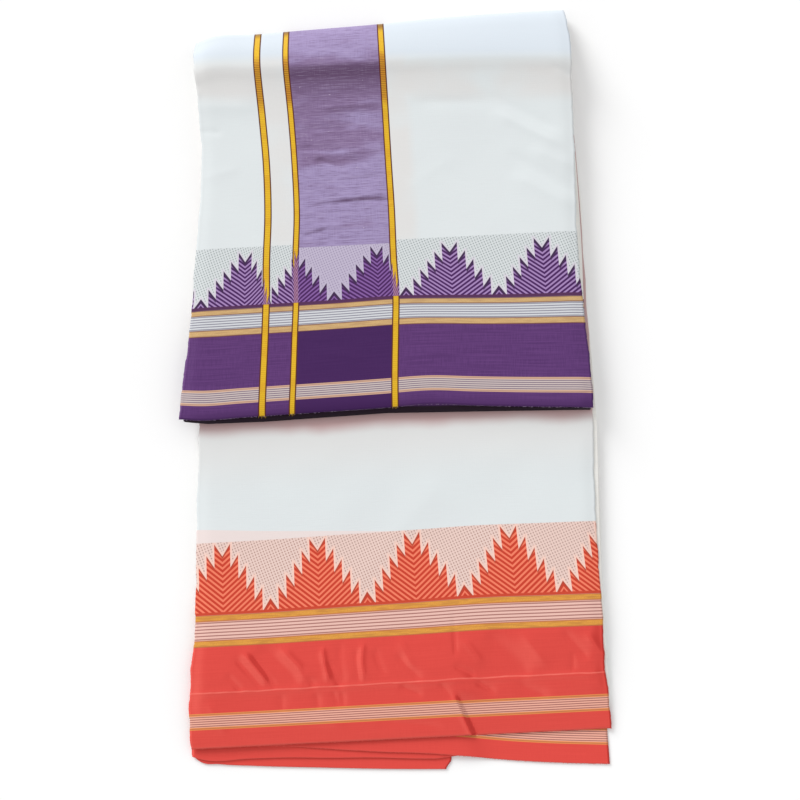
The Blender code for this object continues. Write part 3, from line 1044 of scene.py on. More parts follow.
def cross_band(tree, cloth, u, v):
    """Shot lilac cloth between the second and third stripes, with painted light and shade on its
    slopes. Also returns its cover.
    """
    kinds = (FINE_LINES, LONG_LINES, WARP_LINES)
    lines = sum(streaks(tree, u, v, *size) * share for size, share in zip(kinds, LINE_SHARES))
    clouds = streaks(tree, u, v, *LILAC_CLOUDS) * CLOUD_STRENGTH - CLOUD_STRENGTH / 2
    # Painted highlight on slopes toward the light, painted shade on slopes facing away
    away = facing_away(tree, VIOLET_BANDS["lit_side"])
    paler = v.falls(*LILAC_PALER_V) * LILAC_PALER
    lilac = dye(tree, LILAC_LIT, LILAC, (away + clouds - paler).rises(*LILAC_TILTS))
    lilac = dye(tree, lilac, DARK_THREAD_AND_SHADE_LILAC, away.rises(*LILAC_SHADE[:2]) * LILAC_SHADE[2])
    lilac = dye(tree, lilac, DARK_THREAD_AND_SHADE_LILAC, lines.rises(*DARK_LINES[:2]) * DARK_LINES[2])
    lilac = dye(tree, lilac, LILAC_SLUB, lines.falls(*PALE_LINES[:2]) * PALE_LINES[2])
    cover = u.within(*CROSS_BAND)
    return dye(tree, cloth, lilac, cover), cover


# %% The gold stripes
STRIPE_WIDTHS = (8.6, 7.6, 8.2)
STRIPE_OUTLINE = 1.35
OUTLINE_EDGES = (-0.2, 0.3)
STRIPE_GOLD = screen_colour(230, 184, 38)
STRIPE_AMBER = screen_colour(208, 142, 38)
STRIPE_DARK = screen_colour(90, 40, 28)
STRIPE_MOTTLE = screen_colour(168, 112, 124)
MOTTLE_COVER = 0.45

# Where the metal turns to amber and how soft that is, and where painted shade darkens it under the
# roll
AMBER_V = (372.0, 428.0, 8.0)
STRIPE_ROLL_SHADE_V = (462.0, 478.0)
AMBER_COVER = 0.7
STRIPE_ROLL_SHADE_COVER = 0.7
GOLD_SPECKLE = (1.1, 1.6, 0.5, 0.66, 0.2)
GOLD_PATCHES = (40.0, 22.0, 0.5, 0.62, 0.25)

# Ribs of the weft in the metal: how far apart, where in that distance each is bright, and how
# dark it is between them on gold and, in addition, on amber
RIB_PITCH = 2.2
RIB_BRIGHT = (0.3, 0.8, 0.15)
RIB_DARK = 0.12
RIB_DARKER = 0.4


def gold_stripes(tree, cloth, u, v, spires):
    """The metal stripes with dark outlines. Also returns the cover of the metal."""
    asides = [(u - middle).by("ABSOLUTE") for middle in STRIPE_U]
    halves = [width / 2 for width in STRIPE_WIDTHS]
    begins, ends = OUTLINE_EDGES
    outline = sum(aside.falls(half + begins, half + ends) for aside, half in zip(asides, halves))
    insides = [half - STRIPE_OUTLINE for half in halves]
    metal = sum(aside.falls(half - SHARP_EDGE, half + SHARP_EDGE)
                for aside, half in zip(asides, insides))
    ribs = 1 - (v / RIB_PITCH).by("FRACT").within(*RIB_BRIGHT)
    amber = v.within(*AMBER_V)
    uneven = patchy(tree, u, v, GOLD_SPECKLE) + patchy(tree, u, v, GOLD_PATCHES)
    gold = dye(tree, STRIPE_GOLD, STRIPE_AMBER, amber * AMBER_COVER + uneven)
    gold = dye(tree, gold, STRIPE_DARK, ribs * (amber * RIB_DARKER + RIB_DARK))
    # Painted shade on the metal under the roll
    gold = dye(tree, gold, STRIPE_DARK, v.rises(*STRIPE_ROLL_SHADE_V) * STRIPE_ROLL_SHADE_COVER)
    cloth = dye(tree, cloth, STRIPE_DARK, outline * (1 - spires))
    cloth = dye(tree, cloth, STRIPE_MOTTLE, metal * spires * MOTTLE_COVER)
    metal = metal * (1 - spires)
    return dye(tree, cloth, gold, metal), metal


# %% [markdown]
# ## Cotton
#
# Under the colours it is all one plain weave. Fine threads cross every half millimetre, some of
# them a little thicker than their neighbours, and the handled cloth is never quite even in tone.
# The weave is a bump, as it is far too small for faces. Metal thread is smoother and shines.

# %% White cotton
COTTON_WHITE = screen_colour(222, 228, 229)
COTTON_GREY = screen_colour(214, 218, 220)
# Warm tone that also serves as painted shade, cool painted shade, painted shadow with a violet
# reflection
COTTON_WARM_AND_SHADE = screen_colour(221, 214, 210)
COTTON_ROLL_SHADE = screen_colour(210, 218, 226)
COTTON_FLAP_SHADOW = screen_colour(190, 150, 150)
CLOUDS = (90.0, 70.0)
THREADS = (30.0, 0.7)
CLOUD_GREY = 0.5
THREAD_GREY = 0.3

# On the flap, the white is warmer around the stripes. In front of the crest, which crosses the
# cloth at a slant, it has a warm painted shade, and behind the crest, on the roll, a cool painted
# shade. The third number says how soft an edge is.
WARM_U = (82.0, 258.0, 7.0)
CREST_V = 425.0
CREST_SLANT = 0.04
SHADE_BEFORE_CREST = (-42.0, 0.0, 12.0)
ROLL_SHADE_FROM_CREST = (0.0, 18.0)
WARM_AND_SHADE_CLOUDS = (0.2, 0.6)
WARM_AND_SHADE_COVER = 0.5


def flap_white(tree, u, v, white, clouds):
    """The tones of the white on the flap, with painted shade in front of the crest and on the roll.
    """
    from_crest = v + u * CREST_SLANT - CREST_V
    # Warm tone around the stripes, warm painted shade in front of the crest, cool painted shade
    # behind it
    warm_and_shaded = from_crest.within(*SHADE_BEFORE_CREST).by("MAXIMUM", u.within(*WARM_U))
    white = dye(tree, white, COTTON_WARM_AND_SHADE, warm_and_shaded * clouds.rises(*WARM_AND_SHADE_CLOUDS) * WARM_AND_SHADE_COVER)
    return dye(tree, white, COTTON_ROLL_SHADE, from_crest.rises(*ROLL_SHADE_FROM_CREST))


# On the panel, a warm painted shade darkens the white toward the flap. Next to the violet hem it
# gets a painted shadow with a painted violet reflection, from a wavy and slightly slanting line on.
PANEL_SHADE_V = (262.0, 330.0)
PANEL_SHADE_COVER = 0.4
FLAP_SHADOW_V = (331.0, 349.0)
FLAP_SHADOW_SLANT = 0.015
FLAP_SHADOW_WAVES = (70.0, 300.0)
FLAP_SHADOW_WAVE_HEIGHT = 12
FLAP_SHADOW_COVER = 0.85


def panel_white(tree, u, v, white):
    """The tones of the white on the lower panel: painted shade toward the flap, then its painted
    shadow.
    """
    # Painted shade toward the flap, then the flap's painted shadow with a painted violet reflection
    white = dye(tree, white, COTTON_WARM_AND_SHADE, v.rises(*PANEL_SHADE_V) * PANEL_SHADE_COVER)
    waves = streaks(tree, u, v, *FLAP_SHADOW_WAVES) * FLAP_SHADOW_WAVE_HEIGHT
    shadowed = v + u * FLAP_SHADOW_SLANT + waves - FLAP_SHADOW_WAVE_HEIGHT / 2
    return dye(tree, white, COTTON_FLAP_SHADOW, shadowed.rises(*FLAP_SHADOW_V) * FLAP_SHADOW_COVER)


# %% The two borders on white
BORDERS = {"violet": (VIOLET_BANDS, VIOLET_SPIRES), "orange": (ORANGE_BANDS, ORANGE_SPIRES)}

# %% Tint and painted crease highlight of the orange border
# A tinted wedge above the orange ground: the U of its end, its slope
TINT = screen_colour(235, 213, 208)
TINT_END = 243.0
TINT_SLOPE = 0.069
TINT_COVER = 0.7

# The pressed crease on the orange band, whose crest has a paler painted highlight in places: its V
# and how far it waves, then how much paler it is at most and at least
PRESSED_V = 57.6
CREASE_HIGHLIGHT_CORAL = screen_colour(244, 124, 110)
CREASE_HIGHLIGHT_WAVES = (26.0, 300.0)
CREASE_HIGHLIGHT_WAVE_HEIGHT = 2
CREASE_HIGHLIGHT_PLACES = (14.0, 300.0)
CREASE_HIGHLIGHT_COVERS = (0.8, 0.2)
CREASE_HIGHLIGHT_LINE = (0.2, 1.2)


def orange_wedge(tree, u, v, white, ground):
    """A tint above the orange ground, which narrows along the border."""
    wedge = (TINT_END - u) * TINT_SLOPE + ground
    tinted = (wedge - v).rises(-0.5, 0.5) * u.falls(TINT_END - 1, TINT_END)
    return dye(tree, white, TINT, tinted * TINT_COVER)


def crease_highlight(tree, u, v, cloth):
    """The painted highlight: a paler line along the pressed crease."""
    waves = streaks(tree, u, v, *CREASE_HIGHLIGHT_WAVES) * CREASE_HIGHLIGHT_WAVE_HEIGHT
    wavy = v - PRESSED_V + waves - CREASE_HIGHLIGHT_WAVE_HEIGHT / 2
    most, least = CREASE_HIGHLIGHT_COVERS
    uneven = streaks(tree, u, v, *CREASE_HIGHLIGHT_PLACES) * (most - least) + least
    return dye(tree, cloth, CREASE_HIGHLIGHT_CORAL, wavy.by("ABSOLUTE").falls(*CREASE_HIGHLIGHT_LINE) * uneven)


# %% Where the lilac band crosses the border
# Colours of the solid bands and of the dotted ground there, and how much lower the ground ends
CROSS_VIOLET = screen_colour(58, 22, 80)
CROSS_GROUND = screen_colour(188, 178, 200)
CROSS_DOT = screen_colour(150, 138, 166)
CROSS_LIGHT = screen_colour(132, 92, 158)
CROSS_LOWER = 3.8
CROSS_COVER = 0.8


def crossed_ground(tree, white, pattern, bands, spires):
    """The spires where the lilac band crosses them."""
    colours = spires | {"ground": CROSS_GROUND, "dot": CROSS_DOT, "rim": CROSS_GROUND,
                        "light": CROSS_LIGHT}
    top = bands["ground"] - CROSS_LOWER
    return temple_spires(tree, white, pattern, bands["foot"], bands["step"], top, colours)[0]


def crossed_solid(tree, v, cloth, crossed, bands):
    """The solid bands where the lilac band crosses them."""
    solid = v.falls(bands["hem"] - WOVEN_EDGE, bands["hem"])
    solid = solid + v.within(bands["thin"], bands["solid"], WOVEN_EDGE)
    return dye(tree, cloth, CROSS_VIOLET, crossed * solid * CROSS_COVER)


# %% Weave
THREAD_PITCH = 0.55
WEAVE_HEIGHT = 0.10
THREAD_HEIGHT = 0.12
WARP_HEIGHT = 0.08
WARP_THREADS = (0.8, 25.0)
RIB_HEIGHT = 0.35
METAL_HEIGHT = 0.1
BUMP_STRENGTH = 0.6


def plain_weave(u, v, threads):
    """Height of the crossing threads, some of them thicker."""
    over_under = (u / THREAD_PITCH).by("PINGPONG", 0.5) * (v / THREAD_PITCH).by("PINGPONG", 0.5)
    return over_under * WEAVE_HEIGHT + threads * THREAD_HEIGHT


def raise_threads(tree, shader, height):
    """The bump of the threads."""
    bump = tree.nodes.new("ShaderNodeBump")
    bump.inputs["Strength"].default_value = BUMP_STRENGTH
    bump.inputs["Distance"].default_value = MM
    tree.links.new(height.socket, bump.inputs["Height"])
    tree.links.new(bump.outputs["Normal"], shader.inputs["Normal"])


# %% Cotton
COTTON_FINISH = {"Roughness": 0.86, "Sheen Weight": 0.08, "Sheen Roughness": 0.5,
                 "Specular IOR Level": 0.2}
METAL_SMOOTHER = 0.42
METAL_SHARE = 0.35


def cotton(name, border):
    """Dhoti cotton: white with the orange border, or with the violet one and the gold stripes."""
    material, tree, shader = fresh_material(name, COTTON_FINISH)
    u, v = cloth_place(tree, "cloth")
    pattern = cloth_place(tree, "spires")
    bands, spires = BORDERS[border]
    on_flap = border == "violet"

    clouds = streaks(tree, u, v, *CLOUDS)
    threads = streaks(tree, u, v, *THREADS)
    white = dye(tree, COTTON_WHITE, COTTON_GREY, clouds * CLOUD_GREY + threads * THREAD_GREY)
    if on_flap:
        white, crossed = cross_band(tree, flap_white(tree, u, v, white, clouds), u, v)
    else:
        white = orange_wedge(tree, u, v, panel_white(tree, u, v, white), bands["ground"])
    colour, cover = temple_spires(
        tree, white, pattern, bands["foot"], bands["step"], bands["ground"], spires)
    if on_flap:
        crossing = crossed_ground(tree, white, pattern, bands, spires)
        colour = dye(tree, colour, crossing, crossed)
    colour, _ = border_bands(tree, colour, u, v, bands)

    height = plain_weave(u, v, threads) + streaks(tree, u, v, *WARP_THREADS) * WARP_HEIGHT
    if on_flap:
        colour = crossed_solid(tree, v, colour, crossed, bands)
        colour, metal = gold_stripes(tree, colour, u, v, cover)
        ribs = (v / RIB_PITCH).by("PINGPONG", 0.5) * metal * RIB_HEIGHT
        height = height + ribs + metal * METAL_HEIGHT
        roughness = COTTON_FINISH["Roughness"] - metal * METAL_SMOOTHER
        tree.links.new((metal * METAL_SHARE).socket, shader.inputs["Metallic"])
        tree.links.new(roughness.socket, shader.inputs["Roughness"])
    else:
        # Painted highlight along the pressed crease
        colour = crease_highlight(tree, u, v, colour)
    tree.links.new(colour, shader.inputs["Base Color"])
    raise_threads(tree, shader, height)
    print(name, "has", len(tree.nodes), "nodes")
    return material


violet_end_cotton = cotton("violet_end_cotton", "violet")
orange_end_cotton = cotton("orange_end_cotton", "orange")

# %% [markdown]
# ## The flap
#
# The top layer starts at the violet hem, lies over the pile, swells where the pile turns, and goes
# over the roll and under it. Its section is one table, so each column of the grid is that section
# between its own front and back ends. U comes from the gold stripes, V from the cloth's length.

# %% Flap section
FLAP_STEP = 2.4
ACROSS_STEPS = 176
FLAT_POINTS = 9

# The row of FLAP_ENDS at which the section's lengths are measured
MIDDLE_END = 5

# Where the crest's own move counts: how far in front of the roll's outermost line it begins and
# ends, and at what heights
CREST_BEGINS = (4, 50)
CREST_ENDS = (72, 140)
CREST_HEIGHTS = (14, 26)

# Heights between which the flap's sides begin to lie lower
SINK_HEIGHTS = (6, 20)


def flap_section():
    """Rows from hem to the end of the roll: cloth length, tie to the hem, offset in y, height."""
    rows = [(1.0, offset, height) for offset, height in FLAP_FRONT]
    flat_start, flat_end = FLAP_FRONT[-1][0], FLAP_ROLL[0][0]
    for step in range(1, FLAT_POINTS):
        share = step / FLAT_POINTS
        height = mix(FLAP_FRONT[-1][1], FLAP_ROLL[0][1], share)
        rows.append((1 - share, mix(flat_start, -flat_end, share), height))
    rows += [(0.0, -offset, height) for offset, height in FLAP_ROLL]
    _, front, back = FLAP_ENDS[MIDDLE_END]
    places = [(tie * front + (1 - tie) * back + offset, height) for tie, offset, height in rows]
    lengths = np.cumsum([0] + [math.dist(a, b) for a, b in zip(places, places[1:])])
    return [(length, *row) for length, row in zip(lengths, rows)]


# %% The flap's outer face
def flap_rows(section, lengths, share, inset=0.0):
    """y and z of the flap's outer face, moved in by inset along each row's normal."""
    tie, offset, height = (read(section, column, lengths)[:, None] for column in (1, 2, 3))
    y = tie * read(FLAP_ENDS, 1, share) + (1 - tie) * read(FLAP_ENDS, 2, share) + offset
    at_crest = ease(*CREST_BEGINS, -offset) * (1 - ease(*CREST_ENDS, -offset))
    at_crest = at_crest * ease(*CREST_HEIGHTS, height)
    y = y - at_crest * (1 - np.minimum(tie * 10, 1)) * read(CREST_MOVES, 1, share)
    z = np.broadcast_to(height, y.shape).copy()
    dy, dz = np.gradient(y, axis=0), np.gradient(z, axis=0)
    run = np.hypot(dy, dz)
    return y + inset * dz / run, z - inset * dy / run


def edge_sink(x, left, right, width=EDGE_WIDTH):
    """How far an outer face lies lower beside its two side edges."""
    near = np.minimum(x - left, right - x)
    return EDGE_SINK * np.exp(-(np.maximum(near, 0) / width) ** 2)


def flap_sink(x, y, z, width=EDGE_WIDTH):
    """The same for the flap, less and less down the roll."""
    sides = (read(FLAP_SIDES, column, y) for column in (1, 2))
    return edge_sink(x, *sides, width) * ease(*SINK_HEIGHTS, z)


# %% Where the flap's threads lie
def flap_maps(x, y, z):
    """UV maps of the cloth and of its spires, and the cloth's length from the hem on."""
    lines = [read(STRIPE_LINES, column, y) for column in (1, 2, 3)]
    u = between_threads(lines, STRIPE_U, x)
    gold_y = read(FLAP_GOLD_LINE, 1, x)
    low = FLAP_GOLD_V * (y - y[:1]) / (gold_y - y[:1])
    high = mix(FLAP_GOLD_V, FLAP_TIPS_V, (y - gold_y) / (FLAP_TIPS_Y - gold_y))
    on_top = np.where(y < gold_y, low, np.where(y < FLAP_TIPS_Y, high, FLAP_TIPS_V))

    # Beyond the tips, V grows with the cloth's own length, round the roll as well
    length = along_rows(y, z, 0)
    rising = slice(int(y.argmax(axis=0).min()))
    at_tips = np.array([np.interp(FLAP_TIPS_Y, column_y[rising], column_length[rising])
                        for column_y, column_length in zip(y.T, length.T)])
    v = on_top + np.maximum(length - at_tips[None, :], 0)
    phase = np.interp(u, *np.array(SPIRE_PHASE).T)
    return {"cloth": (u, v), "spires": (phase, v)}, length


# %% Violet end cloth
# Side edges: how uneven, over what length, and how far in as a share of the width
LOOSE_EDGE = 0.75
LOOSE_LENGTH = 60.0
LOOSE_SHARE = 0.012
FLAP_EDGE_SEED = 31

# Creases end before the hem and at the roll: two ranges of y, and one of height
CREASES_BEGIN_Y = (-44, -10)
CREASES_END_Y = (330, 372)
CREASES_HEIGHTS = (8, 20)

# The same for the soft unevenness, then its seed, height and length
SOFT_FROM_Y = (-30, 20)
SOFT_HEIGHTS = (8, 22)
FLAP_SOFTNESS = (4, 0.45, 90.0)


def loose_edges(share, along, seed):
    """Sideways shift that makes the two folded side edges uneven."""
    left = wander(along, seed, LOOSE_EDGE, LOOSE_LENGTH) * np.exp(-share / LOOSE_SHARE)
    right = wander(along, seed + 1, LOOSE_EDGE, LOOSE_LENGTH) * np.exp((share - 1) / LOOSE_SHARE)
    return left + right


def violet_end_cloth():
    """The flap, from its hem over the roll and under it."""
    section = flap_section()
    lengths = spread(0, section[-1][0], FLAP_STEP)
    share = np.linspace(0, 1, ACROSS_STEPS + 1)[None, :]
    y, z = flap_rows(section, lengths, share)
    x = mix(read(FLAP_SIDES, 1, y), read(FLAP_SIDES, 2, y), share)
    maps, length = flap_maps(x, y, z)
    x = x + loose_edges(share, length, FLAP_EDGE_SEED)

    flat = ease(*CREASES_BEGIN_Y, y) * (1 - ease(*CREASES_END_Y, y)) * ease(*CREASES_HEIGHTS, z)
    soft = ease(*SOFT_FROM_Y, y) * ease(*SOFT_HEIGHTS, z) * softness(x, y, *FLAP_SOFTNESS)
    z = z - flap_sink(x, y, z) + laid(flat * creases(FLAP_CREASES, x, y) + soft)
    return cloth_sheet("flap_cloth", x, y, z, maps, violet_end_cotton)


flap_cloth = violet_end_cloth()

# %% [markdown]
# ## The lower panel
#
# The other end of the cloth shows in front of the flap. It slopes down to its hem, where fewer
# layers lie below it, and steps down once more where the shorter layers end. A pressed crease runs
# across the orange band. Behind the flap's hem it runs on into the slit, where nothing shows.

# %% Heights of the lower panel
# Where across the panel the layers below it end
LAYERS_END_X = (50.0, 98.0)

# Ranges of y: the slope up from the hem ends, the sides lie lower from the first to the second,
# and the slanting step shows
PANEL_LEVEL_Y = (-340, -290)
PANEL_SINK_FROM = (-394, -350)
PANEL_SINK_TO = (-130, -62)
STEP_Y = (-352, -372)

# The slanting step: x at one y, lean, how far its lower side lies down, its width, and its lip
END_LINE_X = 55.0
END_LINE_Y = -363.0
END_LINE_LEAN = 0.40
END_DOWN = 0.3
END_RANGE = (-0.5, 3.0)
END_LIP = 0.4
LIP_BEFORE = 2.0
LIP_WIDTH = 2.6


def layers_below(x):
    """Height of the layers that show under the orange hem, which end part way across."""
    return mix(3 * LAYER, LAYER, ease(*LAYERS_END_X, x))


def panel_height(x, y, width=EDGE_WIDTH):
    """Outer face of the lower panel, without its creases."""
    sloped = layers_below(x) + read(PANEL_SLOPE, 1, y)
    sink = edge_sink(x, read(PANEL_SIDES, 1, y), read(PANEL_SIDES, 2, y), width)
    shown = ease(*PANEL_SINK_FROM, y) * (1 - ease(*PANEL_SINK_TO, y))
    return mix(sloped, PANEL_TOP, ease(*PANEL_LEVEL_Y, y)) - sink * shown


def end_line(y):
    """x of the slanting step."""
    return END_LINE_X + END_LINE_LEAN * (END_LINE_Y - y)


def end_step(x, y):
    """The slanting step in the panel over the ends of the shorter layers."""
    line = end_line(y)
    down = ease(line + END_RANGE[0], line + END_RANGE[1], x)
    sharp = mix(3 * LAYER + END_LIP, LAYER - END_DOWN, down)
    lip = END_LIP * np.exp(-((x - line + LIP_BEFORE) / LIP_WIDTH) ** 2)
    return ease(*STEP_Y, y) * (sharp + lip - layers_below(x))


# %% Where the panel's threads lie
# The stripes shift a little at the step: how far, how wide, and in what range of y
END_SHIFT = 1.2
SHIFT_HALF = 1.5
SHIFT_Y = (-356, -368)


def panel_maps(x, y):
    """UV maps of the lower panel."""
    lean = y - PANEL_FOOT_Y
    lines = [foot + slope * lean for _, foot, slope in PANEL_THREADS]
    u = between_threads(lines, [row[0] for row in PANEL_THREADS], x)
    gold_y = read(PANEL_GOLD_LINE, 1, x)
    low = PANEL_GOLD_V * (y - PANEL_FRONT_Y) / (gold_y - PANEL_FRONT_Y)
    v = np.where(y < gold_y, low, PANEL_GOLD_V + y - gold_y)
    line = end_line(y)
    v = v + END_SHIFT * ease(line - SHIFT_HALF, line + SHIFT_HALF, x) * ease(*SHIFT_Y, y)
    return {"cloth": (u, v), "spires": (u, v)}


# %% Orange end cloth
PANEL_STEP = 2.1
PANEL_ACROSS_STEPS = 208
PANEL_EDGE_SEED = 41

# From this y on it lies hidden under the flap, in a few long rows up to the inner fold
PANEL_SHOWN_TO = -34.0
TUCKED_ROWS = 14
TUCKED_SHORT_OF_FOLD = 2

# Softness: its seed, height and length, and where it begins. Creases: where they end
PANEL_SOFTNESS = (9, 0.4, 100.0)
PANEL_SOFT_Y = (-398, -370)
PANEL_CREASES_END_Y = (-110, -75)


def orange_end_cloth():
    """The lower panel, from its hem into the slit under the flap."""
    share = np.linspace(0, 1, PANEL_ACROSS_STEPS + 1)[None, :]
    inner_fold = read(FLAP_ENDS, 2, share) - SLIT_FROM_BACK - TUCKED_SHORT_OF_FOLD
    shown = spread(PANEL_FRONT_Y, PANEL_SHOWN_TO, PANEL_STEP)[:, None] + 0 * share
    tucked = mix(PANEL_SHOWN_TO, inner_fold, np.linspace(0, 1, TUCKED_ROWS + 1)[1:, None])
    y = np.vstack([shown, tucked])
    x = mix(read(PANEL_SIDES, 1, y), read(PANEL_SIDES, 2, y), share)
    maps = panel_maps(x, y)
    x = x + loose_edges(share, y, PANEL_EDGE_SEED)

    soft = softness(x, y, *PANEL_SOFTNESS) * ease(*PANEL_SOFT_Y, y)
    relief = laid(creases(PANEL_CREASES, x, y) + soft) * (1 - ease(*PANEL_CREASES_END_Y, y))
    z = panel_height(x, y) + end_step(x, y) + relief
    return cloth_sheet("lower_panel_cloth", x, y, z, maps, orange_end_cotton)


lower_panel_cloth = orange_end_cloth()

# %% [markdown]
# ## The hems below
#
# Three more layers show in front of the orange hem. The second one is turned, so it fans out to
# the right and shows its thin stripes there. The third and the lowest end part way across.

# %% Hems under the panel
HEM_STEP = 2.4

# Rows from the hem back, which are closer together at the front
HEM_ROWS = 36
HEM_ROW_POWER = 1.3

# Underside of the lowest one, and the softness of all: height, length
GROUND_GAP = 1.0
HEM_SOFT_HEIGHT = 0.12
HEM_SOFT_LENGTH = 60.0
HEM_SEED = 20

# The third hem runs on a little under the second: how far it goes, how much it draws back there,
# and from what share of its width on. The lowest has its right corner cut back.
THIRD_RUNS_ON = 14.0
THIRD_END = (3.6, 0.88)
LOWEST_CORNER = 6.0
CORNER_LENGTH = 10.0
CORNER_FROM = 0.8


def hem_cloth(name, front_table, sides, rank, draws_back=(0.0, 0.9), corner=0.0):
    """A lower layer that shows under the orange hem. Rank 0 lies on the ground."""
    left, right_front, right_back = sides
    columns = int((right_front - left) / HEM_STEP)
    share = np.linspace(0, 1, columns + 1)[None, :]
    back_share = np.linspace(0, 1, HEM_ROWS)[:, None] ** HEM_ROW_POWER
    front = read(front_table, 1, share) + draws_back[0] * ease(draws_back[1], 1, share)
    y = mix(front, HEM_BACK_Y, back_share)
    x = mix(left, mix(right_front, right_back, back_share), share)
    x = x - corner * (1 - ease(0, CORNER_LENGTH, y - front)) * ease(CORNER_FROM, 1, share)

    # The second hem comes down to the ground where the two below it end
    sunk = mix(rank, 0, ease(*LAYERS_END_X, x)) if rank == 2 else rank
    uneven = np.abs(softness(x, y, HEM_SEED + rank, 1.0, HEM_SOFT_LENGTH))
    z = GROUND_GAP + sunk * LAYER + 0 * x + HEM_SOFT_HEIGHT * uneven
    place = (x - left, y - front)
    return cloth_sheet(name, x, y, z, {"cloth": place, "spires": place}, orange_end_cotton)


second_hem = hem_cloth("second_hem_cloth", SECOND_HEM, SECOND_SIDES, 2)
third_sides = (THIRD_SIDES[0], THIRD_SIDES[1] + THIRD_RUNS_ON, THIRD_SIDES[2] + THIRD_RUNS_ON)
third_hem = hem_cloth("third_hem_cloth", THIRD_HEM, third_sides, 1, draws_back=THIRD_END)
lowest_sides = (LOWEST_SIDES[0], LOWEST_SIDES[1] + LOWEST_CORNER, LOWEST_SIDES[2])
lowest_hem = hem_cloth("lowest_hem_cloth", LOWEST_HEM, lowest_sides, 0, corner=LOWEST_CORNER)

# %% [markdown]
# ## The folded layers inside
#
# Between the flap and the underside the cloth runs to and fro. Only its folded edges show, so one
# sheet does it: across the pile, round a small fold, back again, seven times. Each row of points
# is such a zigzag, between the slit on one side and the outer layer on the other, and the rows
# follow the pile from the orange end round the roll to the violet hem. The layers lie a little
# askew, so that on the right their white shows beside the orange border.

# %% Faces of the pile
INNER_WALL = 0.3
FACE_GAP = 0.5
OUTER_WALL = 1.0
PILE_STEP = 6.0

# The lower pile from its front end to under the roll. Between its sides the front is drawn in, so
# that it stays under the slope of the panel: how far, up to what y, and between which shares.
PILE_FRONT_Y = -374.0
PILE_BACK_Y = 370.0
PILE_DRAWN_IN = 18.0
PILE_DRAWN_TO_Y = -300
PILE_MIDDLE = (0.06, 0.2, 0.8, 0.94)

# It rests on the hems' layers up to this y, with a small gap, and on the ground from there on
HEM_GAP = 0.3
HEMS_END_Y = (-326, -320)
PILE_SINK_WIDTH = 22.0

# At its own front the flap's pile is a little lower. Its sides come from the flap above a height
FLAP_PILE_LOWER = 1.2
FLAP_PILE_HEIGHTS = (8, 16)


def pile_sides(y, in_flap):
    """Left and right x of the pile, in the lower part or in the flap."""
    left = mix(read(PILE_SIDES, 1, y), read(PILE_SIDES, 3, y), in_flap)
    right = mix(read(PILE_SIDES, 2, y), read(PILE_SIDES, 4, y), in_flap)
    return left, right


# %% The lower pile
def lower_faces(across, slit_end, foot_y):
    """The lower pile's x, then y and z of its underside, and y and z of its upper side."""
    y = spread(PILE_FRONT_Y, PILE_BACK_Y, PILE_STEP)[:, None] + 0 * across
    middle = ease(*PILE_MIDDLE[:2], across) * (1 - ease(*PILE_MIDDLE[2:], across))
    y = y + PILE_DRAWN_IN * middle * (1 - ease(PILE_FRONT_Y, PILE_DRAWN_TO_Y, y))
    y = np.vstack([y, foot_y])
    x = mix(*pile_sides(y, 0), across)
    floor = (layers_below(x) + HEM_GAP) * (1 - ease(*HEMS_END_Y, y))
    roof = panel_height(x, y, PILE_SINK_WIDTH) - OUTER_WALL - FACE_GAP
    return x, y, floor, np.minimum(y, slit_end), roof


# %% The pile in the roll and the flap
def upper_faces(across, slit_end):
    """The same for the pile in the roll and the flap, whose slit side turns back at the slit."""
    section = flap_section()
    lengths = spread(section[-1][0], 0, PILE_STEP / 2)
    y, z = flap_rows(section, lengths[::-1], across, OUTER_WALL + FACE_GAP)
    y = np.vstack([y[::-1], read(FLAP_PILE_FRONT, 1, across)])
    z = np.vstack([z[::-1], z[:1] - FLAP_PILE_LOWER])
    x = mix(*pile_sides(y, ease(*FLAP_PILE_HEIGHTS, z)), across)
    z = z - flap_sink(x, y, z, PILE_SINK_WIDTH)

    turn = np.arange(1, len(y) + 1)[:, None] / (np.sum(y > slit_end, axis=0) + 1)
    angle = np.pi * (np.clip(turn, 0, 1) - 0.5)
    radius = (FLAP_FLOOR - PANEL_TOP + OUTER_WALL + FACE_GAP) / 2
    slit_y = np.where(y > slit_end, slit_end + radius * np.cos(angle), y)
    slit_z = np.where(y > slit_end, FLAP_FLOOR - radius * (1 - np.sin(angle)), FLAP_FLOOR)
    return x, y, z, slit_y, slit_z


def pile_faces(share):
    """Slit side and outer side of the pile, as x, y, z for each row and share across."""
    across = np.array(share)[None, :]
    back = read(FLAP_ENDS, 2, across)
    slit_end = back - SLIT_FROM_BACK
    lower = lower_faces(across, slit_end, back - FOOT_FROM_BACK)
    upper = upper_faces(across, slit_end)
    x, y, z, slit_y, slit_z = (np.vstack(pair) for pair in zip(lower, upper))
    return np.stack([x, slit_y, slit_z], axis=-1), np.stack([x, y, z], axis=-1)


# %% Fold the inner sheet
LAYERS_INSIDE = 7
PILE_SHARES = (0, .02, .06, .2, .5, .8, .94, .98, 1)
PILE_HEIGHT = 8.0

# A fold between two layers: its points, and how far out it reaches
FOLD_POINTS = 5
FOLD_REACH = 0.7


